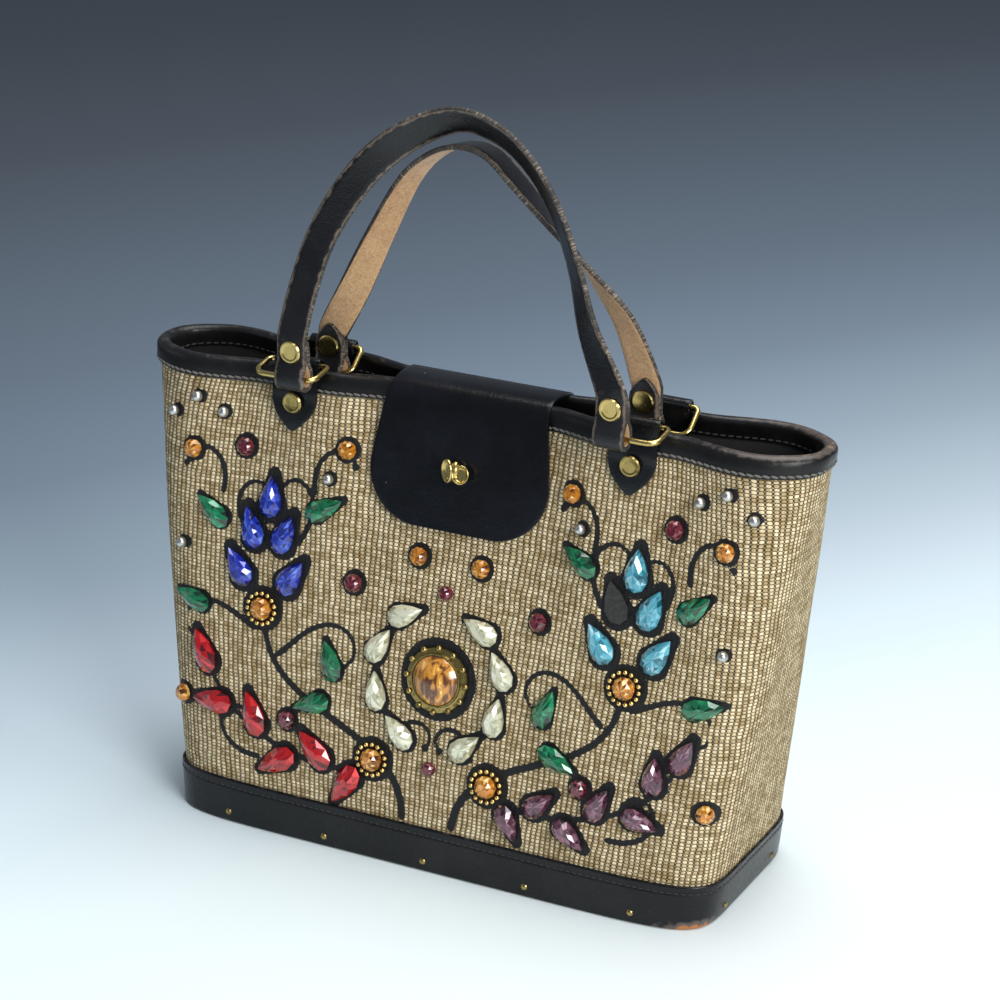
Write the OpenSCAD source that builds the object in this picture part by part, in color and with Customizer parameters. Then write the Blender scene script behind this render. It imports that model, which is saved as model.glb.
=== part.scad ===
// Stone-set canvas handbag: a woven canvas wall stretched over a board base, a leather
// base band and rim binding, two strap handles on rings, and a flap with a turn button.
// Millimetres. The front faces -Y, +Z is up, the base board stands on z = 0.

/* [Body] */
// Height of the rim crest above the floor
body_h = 222; // [190:1:260]
// Width of the canvas wall at the floor
base_w = 277; // [230:1:320]
// Depth of the canvas wall at the floor
base_d = 110; // [90:1:130]
// Width of the canvas wall at the rim
top_w = 340; // [300:1:400]
// Depth that the wall would have at the rim if it were not drawn together
top_d = 75; // [64:1:90]
// Mouth depth under the flap, wall to wall
mouth_mid = 21; // [16:1:30]
// Mouth depth at the ring tabs, wall to wall
mouth_tab = 35; // [30:1:46]
// Squareness of the outline at the floor
base_sq = 8.2; // [4:0.1:10]
// Squareness of the outline at the rim
top_sq = 2.5; // [2:0.1:4]
// Canvas wall with its stiffening
wall_t = 2.2; // [1.6:0.1:3]
// Lining cloth
lining_t = 0.9; // [0.6:0.1:1.5]
// Base board
board_t = 9; // [6:0.5:12]

/* [Leather trim] */
// Height of the base band
band_h = 21.5; // [16:0.5:28]
// Leather of the band and of the rim binding
trim_t = 1.5; // [1:0.1:2]
// Height of the binding on the outside
bind_h = 9.6; // [8:0.1:12]
// Diameter of a tack head on the band
tack_d = 3.2; // [2.6:0.1:4]
// Distance between the tacks on the front
tack_pitch = 53; // [44:1:58]

/* [Tabs and rings] */
// Distance of each tab from the middle
tab_x = 86; // [80:1:94]
// Width of a tab
tab_w = 23; // [20:0.5:25]
// Leather of the tabs
tab_t = 1.9; // [1.5:0.1:2.2]
// How far the outer leg of a tab comes down from the rim crest
tab_drop = 28.5; // [26:0.5:32]
// Wire of the rings
wire_d = 2.6; // [2.2:0.1:2.8]
// Depth of a ring from its bar to its bow, wire middle to wire middle
ring_depth = 15; // [14:0.5:17]
// Front rings point forward and this much down
front_ring_a = 10; // [5:1:20]
// Back rings point into the mouth and this much down
back_ring_a = 40; // [30:1:45]
// Diameter of the rivet caps on the tabs
rivet_d = 10; // [8:0.5:11]

/* [Handles] */
// Width of a strap
strap_w = 15.6; // [13:0.2:16]
// Thickness of a strap
strap_t = 2.4; // [2:0.1:2.8]
// Height of the front handle above the rim crest
handle_rise = 127.5; // [115:0.5:150]
// Diameter of the rivet caps on the straps
cap_d = 10.6; // [9:0.2:12]

/* [Flap] */
// Leather of the flap
flap_t = 2; // [1.6:0.1:2.4]
// Width of the flap over the mouth
flap_top_w = 80; // [70:1:90]
// Width of the flap at its widest
flap_w = 91; // [80:1:96]
// How far the flap comes down from the rim crest
flap_drop = 62; // [54:1:68]
// Radius of the two lower corners
flap_r = 26; // [18:1:32]
// Height of the turn button's axis below the rim crest
knob_drop = 35; // [32:1:38]

/* [Stones] */
// Length of the drop-shaped stones
drop_l = 20; // [17:0.5:22]
// Width of the drop-shaped stones
drop_w = 11.6; // [9:0.2:12.5]
// Thickness of the drop-shaped stones
drop_h = 5; // [4:0.2:6]
// Diameter of the small round stones
berry_d = 9; // [7:0.5:10]
// Beads of the gold rings
bead_d = 2.3; // [1.9:0.1:2.6]

/* [Hidden] */
$fn = 32;
gap = 0.25;
seg = 72;
stack_t = wall_t + gap + lining_t;
wall_z0 = 1;
wall_z1 = body_h - 3.2;
rows = [0.13, 0.27, 0.42, 0.57, 0.71, 0.83, 0.92];
bind_in = stack_t/2 + gap;
bind_out = bind_in + trim_t;
bar_z = body_h + 0.4 + wire_d/2 + 1;
bar_shift = 2.5;
ring_hw = tab_w/2 + 4;
ring_c1 = 2.6;
ring_c2 = 5;
wire_r = wire_d/2;
loop_x = tab_x - 5.5;
lay_x = top_w/340;
lay_z = body_h/222;
lay_fit = min(1, lay_x, lay_z);
loop_gap = wire_r + 1.8;
rivet_z = body_h - 15;

// Outline of the bag
function mix(a, b, t) = a + (b - a)*t;
function ramp(v, a, b) =
  let (t = min(1, max(0, (v - a)/(b - a)))) t*t*(3 - 2*t);
function half_w(z) = mix(base_w, top_w, z/body_h)/2;
function half_d(z) = mix(base_d, top_d, z/body_h)/2;
function square_n(z) = mix(base_sq, top_sq, z/body_h);
function ellipse_y(x, a, b, n) = b*pow(max(0, 1 - pow(x/a, n)), 1/n);
function mouth_y(x) = mix(mouth_mid, mouth_tab, ramp(x, flap_top_w/2, tab_x - tab_w/2 - 2))/2;
function drawn(x) =
  (1 - mouth_y(x)/max(1, ellipse_y(min(x, tab_x + 14), top_w/2, top_d/2, top_sq)))
  * (1 - ramp(x, tab_x + 14, tab_x + 66));
function pull(x, z) = 1 - pow(z/body_h, 2)*drawn(x);
function wall_y(x, z) =
  ellipse_y(abs(x), half_w(z), half_d(z), square_n(z))*pull(abs(x), z);
function edge(f, z) =
  let (
    c = cos(f),
    s = sin(f),
    n = square_n(z),
    r = pow(pow(abs(c), n) + pow(abs(s), n), -1/n),
    x = half_w(z)*r*c
  ) [x, half_d(z)*r*s*pull(abs(x), z)];
function edge_off(f, z, o) =
  let (
    p = edge(f, z),
    d = edge(f + 0.6, z) - edge(f - 0.6, z)
  ) p + o*[d[1], -d[0]]/norm(d);
function ring_at(z, o) =
  [for (i = [0 : seg - 1]) let (q = edge_off(360*(i + 0.5)/seg, z, o)) [q[0], q[1], z]];
function unit(v) = v/norm(v);
function front_pt(x, z) = [x, -wall_y(x, z), z];
function front_n(x, z) =
  unit(cross(front_pt(x + 0.5, z) - front_pt(x - 0.5, z),
             front_pt(x, z + 0.5) - front_pt(x, z - 0.5)));

// Surfaces built from rings of points
function band_faces(rings, closed) =
  let (
    m = len(rings),
    n = len(rings[0])
  ) [for (j = [0 : m - (closed ? 1 : 2)], i = [0 : n - 1], h = [0, 1])
    let (
      j2 = (j + 1) % m,
      i2 = (i + 1) % n,
      a = j*n + i,
      b = j*n + i2,
      c = j2*n + i2,
      d = j2*n + i,
      rising = rings[j2][0][2] >= rings[j][0][2]
    ) rising ? (h == 0 ? [a, d, c] : [a, c, b]) : (h == 0 ? [a, d, b] : [d, c, b])];
function flat(l) = [for (a = l, b = a) b];
function first_cap(n) = [for (i = [1 : n - 2]) [0, i, i + 1]];
function last_cap(m, n) = [for (i = [1 : n - 2]) [0, i + 1, i] + (m - 1)*n*[1, 1, 1]];
module hoop(rings) {
  polyhedron(flat(rings), band_faces(rings, true));
}
module cup(rings) {
  m = len(rings);
  n = len(rings[0]);
  z0 = rings[0][0][2];
  z1 = rings[m - 1][0][2];
  polyhedron(
    concat(flat(rings), [[0, 0, z0], [0, 0, z1]]),
    concat(
      band_faces(rings, false),
      [for (i = [0 : n - 1]) [m*n, i, (i + 1) % n]],
      [for (i = [0 : n - 1]) [m*n + 1, (m - 1)*n + (i + 1) % n, (m - 1)*n + i]]
    )
  );
}
module skin(rings) {
  m = len(rings);
  n = len(rings[0]);
  polyhedron(flat(rings), concat(band_faces(rings, false), first_cap(n), last_cap(m, n)));
}

// Base
board_in = wall_t + gap + half_d(0) - half_d(board_t);
module base_board() {
  color([0.16, 0.12, 0.1])
  linear_extrude(board_t)
  polygon([for (i = [0 : seg - 1]) edge_off(360*(i + 0.5)/seg, 0, -board_in)]);
}

module base_band() {
  color([0.07, 0.07, 0.08])
  hoop([
    ring_at(0.5, gap),
    ring_at(0.5, gap + trim_t),
    ring_at(band_h, gap + trim_t),
    ring_at(band_h, gap)
  ]);
}

module tack() {
  intersection() {
    translate([0, 0, -tack_d*0.36]) sphere(d = tack_d*1.24);
    cylinder(h = tack_d, d = tack_d*2);
  }
}

module band_tacks() {
  z = 5;
  out = gap + trim_t + 0.12;
  side_x = ellipse_y(base_d/4, half_d(z), half_w(z), square_n(z)) + out + 0.1;
  color([0.72, 0.55, 0.25])
  union() {
    for (side = [0, 180], i = [-2 : 2]) rotate([0, 0, side])
      translate([i*tack_pitch, -wall_y(i*tack_pitch, z) - out, z]) rotate([90, 0, 0]) tack();
    for (side = [0, 180], s = [-1, 1]) rotate([0, 0, side])
      translate([side_x, s*base_d/4, z]) rotate([0, 90, 0]) tack();
  }
}

// Wall, lining and rim
module rivet_holes(r) {
  for (sx = [-1, 1], side = [0, 180]) rotate([0, 0, side])
    translate([sx*tab_x, 0, rivet_z]) rotate([90, 0, 0]) cylinder(h = body_h/2, r = r);
}

module body_wall() {
  out_z = concat([wall_z0], body_h*rows, [wall_z1]);
  in_z = [wall_z1, body_h*rows[5], body_h*rows[3], body_h*rows[1], board_t + gap, wall_z0];
  color([0.66, 0.56, 0.4])
  difference() {
    hoop(concat(
      [for (z = out_z) ring_at(z, 0)],
      [for (z = in_z) ring_at(z, -wall_t)]
    ));
    rivet_holes(1.8);
  }
}

module lining() {
  z0 = board_t + gap;
  out_z = [z0, body_h*rows[1], body_h*rows[3], body_h*rows[5], wall_z1];
  in_z = [wall_z1, body_h*rows[6], body_h*rows[5], body_h*rows[3], body_h*rows[1], z0 + lining_t];
  o = wall_t + gap;
  color([0.05, 0.05, 0.06])
  difference() {
    cup(concat(
      [for (z = out_z) ring_at(z, -o)],
      [for (z = in_z) ring_at(z, -o - lining_t)]
    ));
    rivet_holes(1.8);
  }
}

module rim_binding() {
  mid = -stack_t/2;
  prof = [
    [bind_in, -bind_h], [bind_out - 0.1, -bind_h], [bind_out, -4], [bind_out - 1.2, -1],
    [0, 0], [1.2 - bind_out, -1], [-bind_out, -4], [0.1 - bind_out, -bind_h - 0.6],
    [-bind_in, -bind_h - 0.6], [-bind_in, -2.6], [bind_in, -2.6]
  ];
  color([0.06, 0.06, 0.07])
  hoop([for (p = prof) ring_at(body_h + p[1], mid + p[0])]);
}

// Tabs over the rim, with a roll that holds the ring's bar
function tab_wall_y(z) = wall_y(tab_x, z);
function bar_y(shift) = tab_wall_y(body_h) - stack_t/2 + shift;

tab_mid = tab_wall_y(body_h) - stack_t/2;
tab_up_z = body_h - 3.5;
tab_low_z = body_h - bind_h;
tab_tip_z = body_h - tab_drop;
tab_end_z = body_h - 24;
tab_out_y = tab_wall_y(tab_up_z) + gap + trim_t + 0.35;
tab_low_y = tab_wall_y(tab_low_z) + gap + trim_t + 0.35;
tab_tip_y = max(tab_wall_y(tab_tip_z) + 0.5, tab_low_y + 1.5);
tab_in_y = tab_wall_y(tab_up_z) - stack_t - gap - trim_t - 0.35;
tab_end_y = tab_wall_y(tab_end_z) - stack_t - 2.4;

module tab_legs(shift) {
  by = bar_y(shift);
  r = wire_r + 0.15 + tab_t;
  polygon(concat(
    [[tab_tip_y, tab_tip_z], [tab_tip_y + tab_t, tab_tip_z], [tab_low_y + tab_t, tab_low_z],
     [tab_out_y + tab_t, tab_up_z], [tab_out_y + tab_t - 0.3, body_h - 0.6]],
    [for (a = [0 : 15 : 180]) [by + r*cos(a), bar_z + r*sin(a)]],
    [[tab_in_y - tab_t + 0.3, body_h - 0.6], [tab_in_y - tab_t, tab_up_z],
     [tab_end_y - tab_t, tab_end_z], [tab_end_y, tab_end_z], [tab_in_y, tab_up_z],
     [tab_mid - bind_out + 0.8, body_h - 0.7], [tab_mid, body_h + 0.35],
     [tab_mid + bind_out - 0.8, body_h - 0.7], [tab_out_y, tab_up_z], [tab_low_y, tab_low_z]]
  ));
}

module tab(shift) {
  w = tab_w/2;
  corner = [
    [w + 1, -1], [w + 1, 11], [w, 11], [w - 0.8, 7.4], [w - 3, 3.8], [w - 6.6, 1.2], [w - 9.6, 0.1],
    [w - 10.4, -1]
  ];
  difference() {
    rotate([90, 0, 90]) linear_extrude(tab_w, center = true) tab_legs(shift);
    for (m = [0, 1]) mirror([m, 0, 0])
      translate([0, tab_mid + 40, tab_tip_z]) rotate([90, 0, 0]) linear_extrude(40) polygon(corner);
    translate([-tab_w, bar_y(shift), bar_z]) rotate([0, 90, 0])
      cylinder(h = 2*tab_w, r = wire_r + 0.15);
    translate([0, 0, rivet_z]) rotate([-90, 0, 0]) cylinder(h = body_h/2, r = 1.8);
  }
}

module leather_tab(sx, sy, shift) {
  color([0.06, 0.06, 0.07])
  translate([sx*tab_x, 0, 0]) mirror([0, sy < 0 ? 1 : 0, 0]) tab(shift);
}

module front_left_tab() leather_tab(-1, -1, bar_shift);
module front_right_tab() leather_tab(1, -1, bar_shift);
module back_left_tab() leather_tab(-1, 1, -bar_shift);
module back_right_tab() leather_tab(1, 1, -bar_shift);

// Rivets with a shallow dished cap on both ends
module rivet(d, length) {
  r = d/2;
  rotate_extrude() polygon([
    [0, -1.2], [r - 0.6, -1.2], [r, -0.8], [r, 0], [1.5, 0], [1.5, length], [r, length],
    [r, length + 0.7], [r - 0.5, length + 1.3], [r - 1.2, length + 1.3], [r - 2, length + 0.95],
    [0, length + 0.95]
  ]);
}

module tab_rivets() {
  lean_out = (tab_tip_y - tab_low_y)/(tab_low_z - tab_tip_z);
  lean_in = (tab_end_y - tab_in_y)/(tab_up_z - tab_end_z);
  y1 = tab_low_y + lean_out*(tab_low_z - rivet_z + rivet_d/2) + tab_t + 0.1;
  y2 = tab_in_y + lean_in*(tab_up_z - rivet_z - rivet_d/2) - tab_t - 0.1;
  color([0.55, 0.45, 0.24])
  for (sx = [-1, 1], side = [0, 180]) rotate([0, 0, side])
    translate([sx*tab_x, -y2, rivet_z]) rotate([90, 0, 0]) rivet(rivet_d, y1 - y2);
}

// Rings
module bend(r, a0) {
  rotate([0, 0, a0]) rotate_extrude(angle = 90) translate([r, 0]) circle(wire_r);
}

module ring_wire() {
  bar = ring_hw - ring_c1;
  bow = ring_hw - ring_c2;
  side = ring_depth - ring_c1 - ring_c2;
  union() {
    translate([-bar, 0, 0]) rotate([0, 90, 0]) cylinder(h = 2*bar, r = wire_r);
    translate([-bow, -ring_depth, 0]) rotate([0, 90, 0]) cylinder(h = 2*bow, r = wire_r);
    for (s = [-1, 1]) translate([s*ring_hw, -ring_c1, 0]) rotate([90, 0, 0])
      cylinder(h = side, r = wire_r);
    translate([bar, -ring_c1, 0]) bend(ring_c1, 0);
    translate([-bar, -ring_c1, 0]) bend(ring_c1, 90);
    translate([-bow, -ring_depth + ring_c2, 0]) bend(ring_c2, 180);
    translate([bow, -ring_depth + ring_c2, 0]) bend(ring_c2, 270);
  }
}

module front_ring(sx) {
  color([0.78, 0.6, 0.27])
  translate([sx*tab_x, -bar_y(bar_shift), bar_z]) rotate([front_ring_a, 0, 0]) ring_wire();
}

module back_ring(sx) {
  color([0.78, 0.6, 0.27])
  translate([sx*tab_x, bar_y(-bar_shift), bar_z]) rotate([back_ring_a, 0, 0]) ring_wire();
}

module front_left_ring() front_ring(-1);
module front_right_ring() front_ring(1);
module back_left_ring() back_ring(-1);
module back_right_ring() back_ring(1);

// Handles: one strap each, both ends turned round a ring and riveted
front_bow = [-bar_y(bar_shift) - ring_depth*cos(front_ring_a), bar_z - ring_depth*sin(front_ring_a)];
back_bow = [bar_y(-bar_shift) - ring_depth*cos(back_ring_a), bar_z - ring_depth*sin(back_ring_a)];
lap = strap_t/2 + 0.15;
rivet_up = 13.5;

// One end: points [along the face normal, up] from the tip of the turned-back end
loop_r = loop_gap + strap_t/2;
end_path = concat(
  [[-lap, 24], [-lap, 19.5], [-lap, 13.5], [-lap, 8], [-loop_r*0.88, 3.8]],
  [for (a = [180 : 22.5 : 360]) loop_r*[cos(a), sin(a)]],
  [[loop_r*0.88, 3.8], [lap, 8], [lap, 13.5], [lap, 19.5]]
);
end_half = concat([0.12, 0.5], [for (i = [3 : len(end_path)]) 0.5])*strap_w;

// A strap end on the ring at bow, with the face turned to sy; s = 1 runs out of the loop
function strap_end(sx, sy, bow) =
  [for (p = end_path) [sx*loop_x, bow[0] + sy*p[0], bow[1] + p[1]]];
function spline(p0, p1, p2, p3, t) =
  0.5*(2*p1 + (p2 - p0)*t + (2*p0 - 5*p1 + 4*p2 - p3)*t*t + (3*p1 - p0 - 3*p2 + p3)*t*t*t);
function through(pts, steps) =
  [for (i = [1 : len(pts) - 3], k = [0 : steps - 1])
    spline(pts[i - 1], pts[i], pts[i + 1], pts[i + 2], k/steps)];
function back_to_front(l) = [for (i = [len(l) - 1 : -1 : 0]) l[i]];

// Face normals round a loop
function end_normals(sy) =
  concat(
    [for (i = [0 : 3]) [0, -sy, 0]],
    [[0, -sy*0.9, -0.3]],
    [for (a = [180 : 22.5 : 360]) [0, sy*cos(a), sin(a)]],
    [[0, sy*0.9, -0.3], [0, sy, 0], [0, sy, 0], [0, sy, 0]]
  );

module strap(left, right, arch, arch_n, sy) {
  e1 = strap_end(-1, sy, left);
  e2 = back_to_front(strap_end(1, sy, right));
  ne = end_normals(sy);
  last = len(e1) - 1;
  guide = concat([e1[last - 1], e1[last]], arch, [e2[0], e2[1]]);
  guide_n = concat([ne[last], ne[last]], arch_n, [ne[last], ne[last]]);
  steps = 4;
  pos = concat(e1, [for (i = [1 : steps*(len(arch) + 1) - 1]) through(guide, steps)[i]], e2);
  nor = concat(ne, [for (i = [1 : steps*(len(arch) + 1) - 1]) through(guide_n, steps)[i]],
               back_to_front(ne));
  n = len(pos);
  half = concat(end_half, [for (i = [1 : n - 2*len(end_half)]) strap_w/2], back_to_front(end_half));
  rings = [for (i = [0 : n - 1])
    let (
      t = unit(pos[min(n - 1, i + 1)] - pos[max(0, i - 1)]),
      w = unit(cross(t, nor[i])),
      f = unit(cross(w, t)),
      a = w*half[i],
      b = f*strap_t/2
    ) [pos[i] + a + b, pos[i] + a - b, pos[i] - a - b, pos[i] - a + b]];
  difference() {
    skin(rings);
    for (e = [[-1, left], [1, right]])
      translate([e[0]*loop_x, e[1][0] - 10, e[1][1] + rivet_up]) rotate([-90, 0, 0])
        cylinder(h = 20, r = 1.8);
  }
}

// Arches, as [x, y, share of the handle's rise], and the way each point's face looks
front_arch = [
  [-78.5, -28.5, 0.31], [-71.5, -23.7, 0.51], [-59, -20.7, 0.69], [-44.5, -18.4, 0.83],
  [-26, -16.6, 0.938], [-5, -15.6, 1], [14, -16.1, 0.969], [28, -17.3, 0.898], [40.4, -19.1, 0.788],
  [49, -21, 0.675], [57, -23.3, 0.53], [65, -26.5, 0.345]
];
front_arch_n = [
  [-0.05, -1, 0], [-0.1, -1, -0.05], [-0.1, -0.97, -0.2], [-0.1, -0.93, -0.35], [0, -0.87, -0.5],
  [0, -0.83, -0.56], [-0.2, -0.8, -0.56], [-0.4, -0.75, -0.5], [-0.55, -0.72, -0.4],
  [-0.65, -0.7, -0.25], [-0.68, -0.73, -0.1], [-0.5, -0.86, 0]
];
back_arch = [
  [-67, -0.5, 0.282], [-51.5, -4.5, 0.51], [-35, -8.3, 0.732], [-21.6, -10.2, 0.842],
  [-7, -11, 0.898], [7.6, -10.8, 0.887], [21, -9.2, 0.792], [36, -7.3, 0.665], [55.4, -4.1, 0.489],
  [70.8, -0.4, 0.321]
];
back_arch_n = [
  [-0.5, 0.86, 0], [-0.8, 0.6, 0.1], [-0.8, 0.35, 0.45], [-0.55, 0.2, 0.8], [0, 0.1, 1],
  [0.35, 0, 0.93], [0.7, 0, 0.7], [0.8, 0.2, 0.55], [0.7, 0.6, 0.3], [0.4, 0.9, 0.1]
];
function raised(arch) =
  [for (p = arch) [p[0]*tab_x/86, p[1]*mouth_tab/35, body_h + p[2]*handle_rise]];

module front_handle() {
  color([0.08, 0.08, 0.09])
  strap(front_bow, front_bow, raised(front_arch), front_arch_n, -1);
}

module back_handle() {
  color([0.08, 0.08, 0.09])
  strap(back_bow, back_bow, raised(back_arch), back_arch_n, 1);
}

module strap_rivets(bow, sy) {
  t = 2*strap_t + 0.3 + 0.2;
  color([0.8, 0.64, 0.32])
  for (sx = [-1, 1]) translate([sx*loop_x, bow[0] - sy*t/2, bow[1] + rivet_up])
    rotate([-90*sy, 0, 0]) rivet(cap_d, t);
}

module front_handle_rivets() strap_rivets(front_bow, -1);
module back_handle_rivets() strap_rivets(back_bow, 1);

// Flap: over the mouth and down the front, held at the back by the anchor
flap_z = body_h + 0.4;
knob_z = body_h - knob_drop;
bend_r = 6;
lip_y = wall_y(0, body_h - bend_r) + gap + trim_t + 0.5;
function leaf_y(z) = wall_y(0, z);

// Run of the inner face, as [distance out from the middle, height]
function flap_run(low) =
  let (
    zc = body_h - bind_h,
    zk = body_h - knob_drop
  ) concat(
    [for (a = [90 : -15 : 0])
      [lip_y - bend_r + bend_r*cos(a), flap_z - bend_r + bend_r*sin(a)]],
    [[leaf_y(zc) + gap + trim_t + 1, zc]],
    low < zk - 1 ? [[leaf_y(zk) + 1.9, zk]] : [],
    [[leaf_y(low) + 0.7, low]]
  );
function run_normal(run, i) =
  let (
    a = run[max(0, i - 1)],
    b = run[min(len(run) - 1, i + 1)],
    d = unit(b - a)
  ) i == 0 ? [0, 1] : [-d[1], d[0]];
module flap_profile(low) {
  run = concat([[0.15, flap_z]], flap_run(low));
  polygon(concat(
    run,
    [for (i = [len(run) - 1 : -1 : 0]) run[i] + flap_t*run_normal(run, i == 1 ? 0 : i)]
  ));
}

module flap_outline() {
  z_low = body_h - flap_drop;
  zc = z_low + flap_r;
  side = concat(
    [[flap_top_w/2, body_h + 30], [flap_top_w/2 + 0.3, body_h], [mix(flap_top_w, flap_w, 0.55)/2, body_h - 18]],
    [for (a = [0 : -12 : -84]) [flap_w/2 - flap_r + flap_r*cos(a), zc + flap_r*sin(a)]],
    [[flap_w/2 - flap_r - 6, z_low]]
  );
  polygon(concat(side, [for (i = [len(side) - 1 : -1 : 0]) [-side[i][0], side[i][1]]]));
}

module flap() {
  hole_w = 15.6;
  hole_h = 13;
  color([0.06, 0.06, 0.08])
  difference() {
    intersection() {
      mirror([0, 1, 0]) rotate([90, 0, 90]) linear_extrude(2*flap_w, center = true)
        flap_profile(body_h - flap_drop - 1);
      rotate([90, 0, 0]) linear_extrude(body_h) flap_outline();
    }
    translate([0, -leaf_y(knob_z), knob_z - 1]) rotate([90, 0, 0])
      linear_extrude(20, center = true)
      polygon([for (a = [0 : 15 : 345]) [hole_w/2*cos(a), hole_h/2*sin(a)]]);
  }
}

module flap_anchor() {
  low = body_h - 34;
  w = flap_top_w/2;
  color([0.06, 0.06, 0.08])
  difference() {
    rotate([90, 0, 90]) linear_extrude(2*w, center = true) flap_profile(low);
    for (s = [-1, 1]) translate([s*w*0.7, 0, low + 8]) rotate([-90, 0, 0])
      cylinder(h = body_h/2, r = 2.2);
  }
}

module anchor_rivets() {
  z = body_h - 34 + 8;
  head = flap_t + 1.35;
  color([0.55, 0.45, 0.24])
  for (s = [-1, 1]) translate([s*flap_top_w*0.35, leaf_y(z) + 0.5, z])
    rotate([-90 + atan((leaf_y(z - 4) - leaf_y(z + 4))/8), 0, 0]) rotate_extrude()
    polygon([[0, 0], [1.2, 0], [1.2, head], [4.2, head], [4.2, head + 0.4], [2.6, head + 1.2],
             [0, head + 1.4]]);
}

// Turn button: a plate with a post on the wall, and a two-lobed knob on the post
knob_lean = atan((leaf_y(knob_z - 6) - leaf_y(knob_z + 6))/12);
module at_knob() {
  translate([0, -leaf_y(knob_z), knob_z]) rotate([90 - knob_lean, 0, 0]) children();
}

module turn_button_base() {
  color([0.6, 0.46, 0.2])
  at_knob() union() {
    translate([0, 0, 0.35]) cylinder(h = 0.9, r = 8);
    translate([0, 0, 0.35]) cylinder(h = 5.6, r = 1.6);
  }
}

module turn_button() {
  color([0.8, 0.62, 0.28])
  at_knob() difference() {
    union() {
      translate([0, 0, 4.7]) cylinder(h = 4.6, r = 2.7);
      for (s = [-1, 1]) translate([s*3.3, 0, 7.2]) rotate([s*24, 0, 0])
        cylinder(h = 2.6, r = 3.4, center = true);
    }
    translate([0, 0, 4]) cylinder(h = 2.3, r = 1.75);
  }
}

// Stones. The drop outline has its point at +Y.
module stone(outline, h, table) {
  skin([
    [for (p = outline) [p[0]*0.94, p[1]*0.94, 0]],
    [for (p = outline) [p[0], p[1], h*0.36]],
    [for (p = outline) [p[0]*table, p[1]*table - norm(outline[0])*0.04, h]]
  ]);
}
function drop_outline(l, w, m) =
  [for (i = [0 : 9]) let (a = 36*i)
    [-w*0.65*sin(a)*pow(sin(a/2), m), l/2*cos(a)]];
module drop(l, w, h, m = 1) stone(drop_outline(l, w, m), h, 0.5);
module round_stone(d, h) {
  stone([for (i = [0 : 7]) d/2*[cos(45*i + 22.5), sin(45*i + 22.5)]], h, 0.55);
}

// Puts a piece on the front wall at x and height z of the layout, turned by a from upright towards +X
module on_front(lx, lz, a = 0, lift = 0.75) {
  x = lx*lay_x;
  z = lz*lay_z;
  n = front_n(x, z);
  r = unit([1, 0, 0] - n*n[0]);
  u = cross(n, r);
  ex = r*cos(a) - u*sin(a);
  ey = u*cos(a) + r*sin(a);
  p = front_pt(x, z) + n*lift;
  multmatrix([
    [ex[0], ey[0], n[0], p[0]],
    [ex[1], ey[1], n[1], p[1]],
    [ex[2], ey[2], n[2], p[2]]
  ]) scale(lay_fit) children();
}

// Layout on the front, in x and height of a front 340 wide and 222 high
med_z = 92;
plume = [94, 108];
plume_drops = [[14.5, 17.5, 34], [-14.5, 17.5, -34], [9, 37, 20], [-9, 37, -20], [0, 53, 0]];
spray = [[32, 44], [50, 33], [112, 41], [124, 82]];
function bezier(p, t) =
  p[0]*pow(1 - t, 3) + 3*p[1]*t*pow(1 - t, 2) + 3*p[2]*t*t*(1 - t) + p[3]*pow(t, 3);
function on_lay(p, s) = [p[0]*lay_x*s, p[1]*lay_z];

module plume_drop(s, k) {
  p = plume_drops[k];
  on_front(s*(plume[0] + p[0]), plume[1] + p[1], s*p[2], 0.95) drop(drop_l, drop_w, drop_h);
}

module sapphire_drops() {
  color([0.05, 0.1, 0.6])
  for (k = [0 : 4]) plume_drop(-1, k);
}

module aqua_drops() {
  color([0.25, 0.62, 0.72])
  for (k = [0, 1, 2, 4]) plume_drop(1, k);
}

module lost_stone_seat() {
  p = plume_drops[3];
  color([0.1, 0.09, 0.09])
  on_front(plume[0] + p[0], plume[1] + p[1], p[2])
    linear_extrude(0.8) polygon(drop_outline(drop_l, drop_w, 1));
}

module crystal_drops() {
  color([0.86, 0.86, 0.8])
  for (s = [-1, 1], b = [-58, -20, 18, 54])
    on_front(s*33*cos(b), med_z + 33*sin(b), -s*(b + 12)) drop(drop_l*0.95, drop_w*0.92, drop_h);
}

module spray_drops(s, count, l, w, m) {
  for (i = [0 : count - 1]) {
    t = (i + 0.6)/count;
    p = bezier(spray, t);
    d = bezier(spray, t + 0.01) - bezier(spray, t - 0.01);
    a = atan2(d[0], d[1]);
    side = i == count - 1 ? 0 : (i % 2 == 0 ? 1 : -1);
    b = a + side*44;
    off = side == 0 ? 8 : 9.5;
    on_front(s*(p[0] + off*sin(b)), p[1] + off*cos(b), s*b) drop(l, w, drop_h, m);
  }
}

module ruby_drops() {
  color([0.65, 0.03, 0.05])
  spray_drops(-1, 6, drop_l*1.12, drop_w*0.98, 0.8);
}

module amethyst_drops() {
  color([0.32, 0.12, 0.24])
  spray_drops(1, 7, drop_l*0.92, drop_w*0.88, 1);
}

module emerald_leaves() {
  color([0.02, 0.35, 0.16])
  for (s = [-1, 1], p = [[56, 90, 20], [64, 68, 112], [124, 150, 50], [66, 160, -60], [132, 106, 75]])
    on_front(s*p[0], p[1], s*p[2]) drop(drop_l, drop_w*0.86, drop_h*0.9, 0.8);
}

bead_spots = [plume, [30, 48]];
module amber_centres() {
  color([0.72, 0.36, 0.05])
  for (s = [-1, 1], p = bead_spots) on_front(s*p[0], p[1], 0, 0.9) round_stone(11, 5.4);
}

module gold_bead_rings() {
  color([0.72, 0.54, 0.22])
  for (s = [-1, 1], p = bead_spots, k = [0 : 14]) on_front(s*p[0], p[1], 24*k, 0.75)
    translate([0, 7.4, bead_d/2]) sphere(d = bead_d);
}

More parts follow.
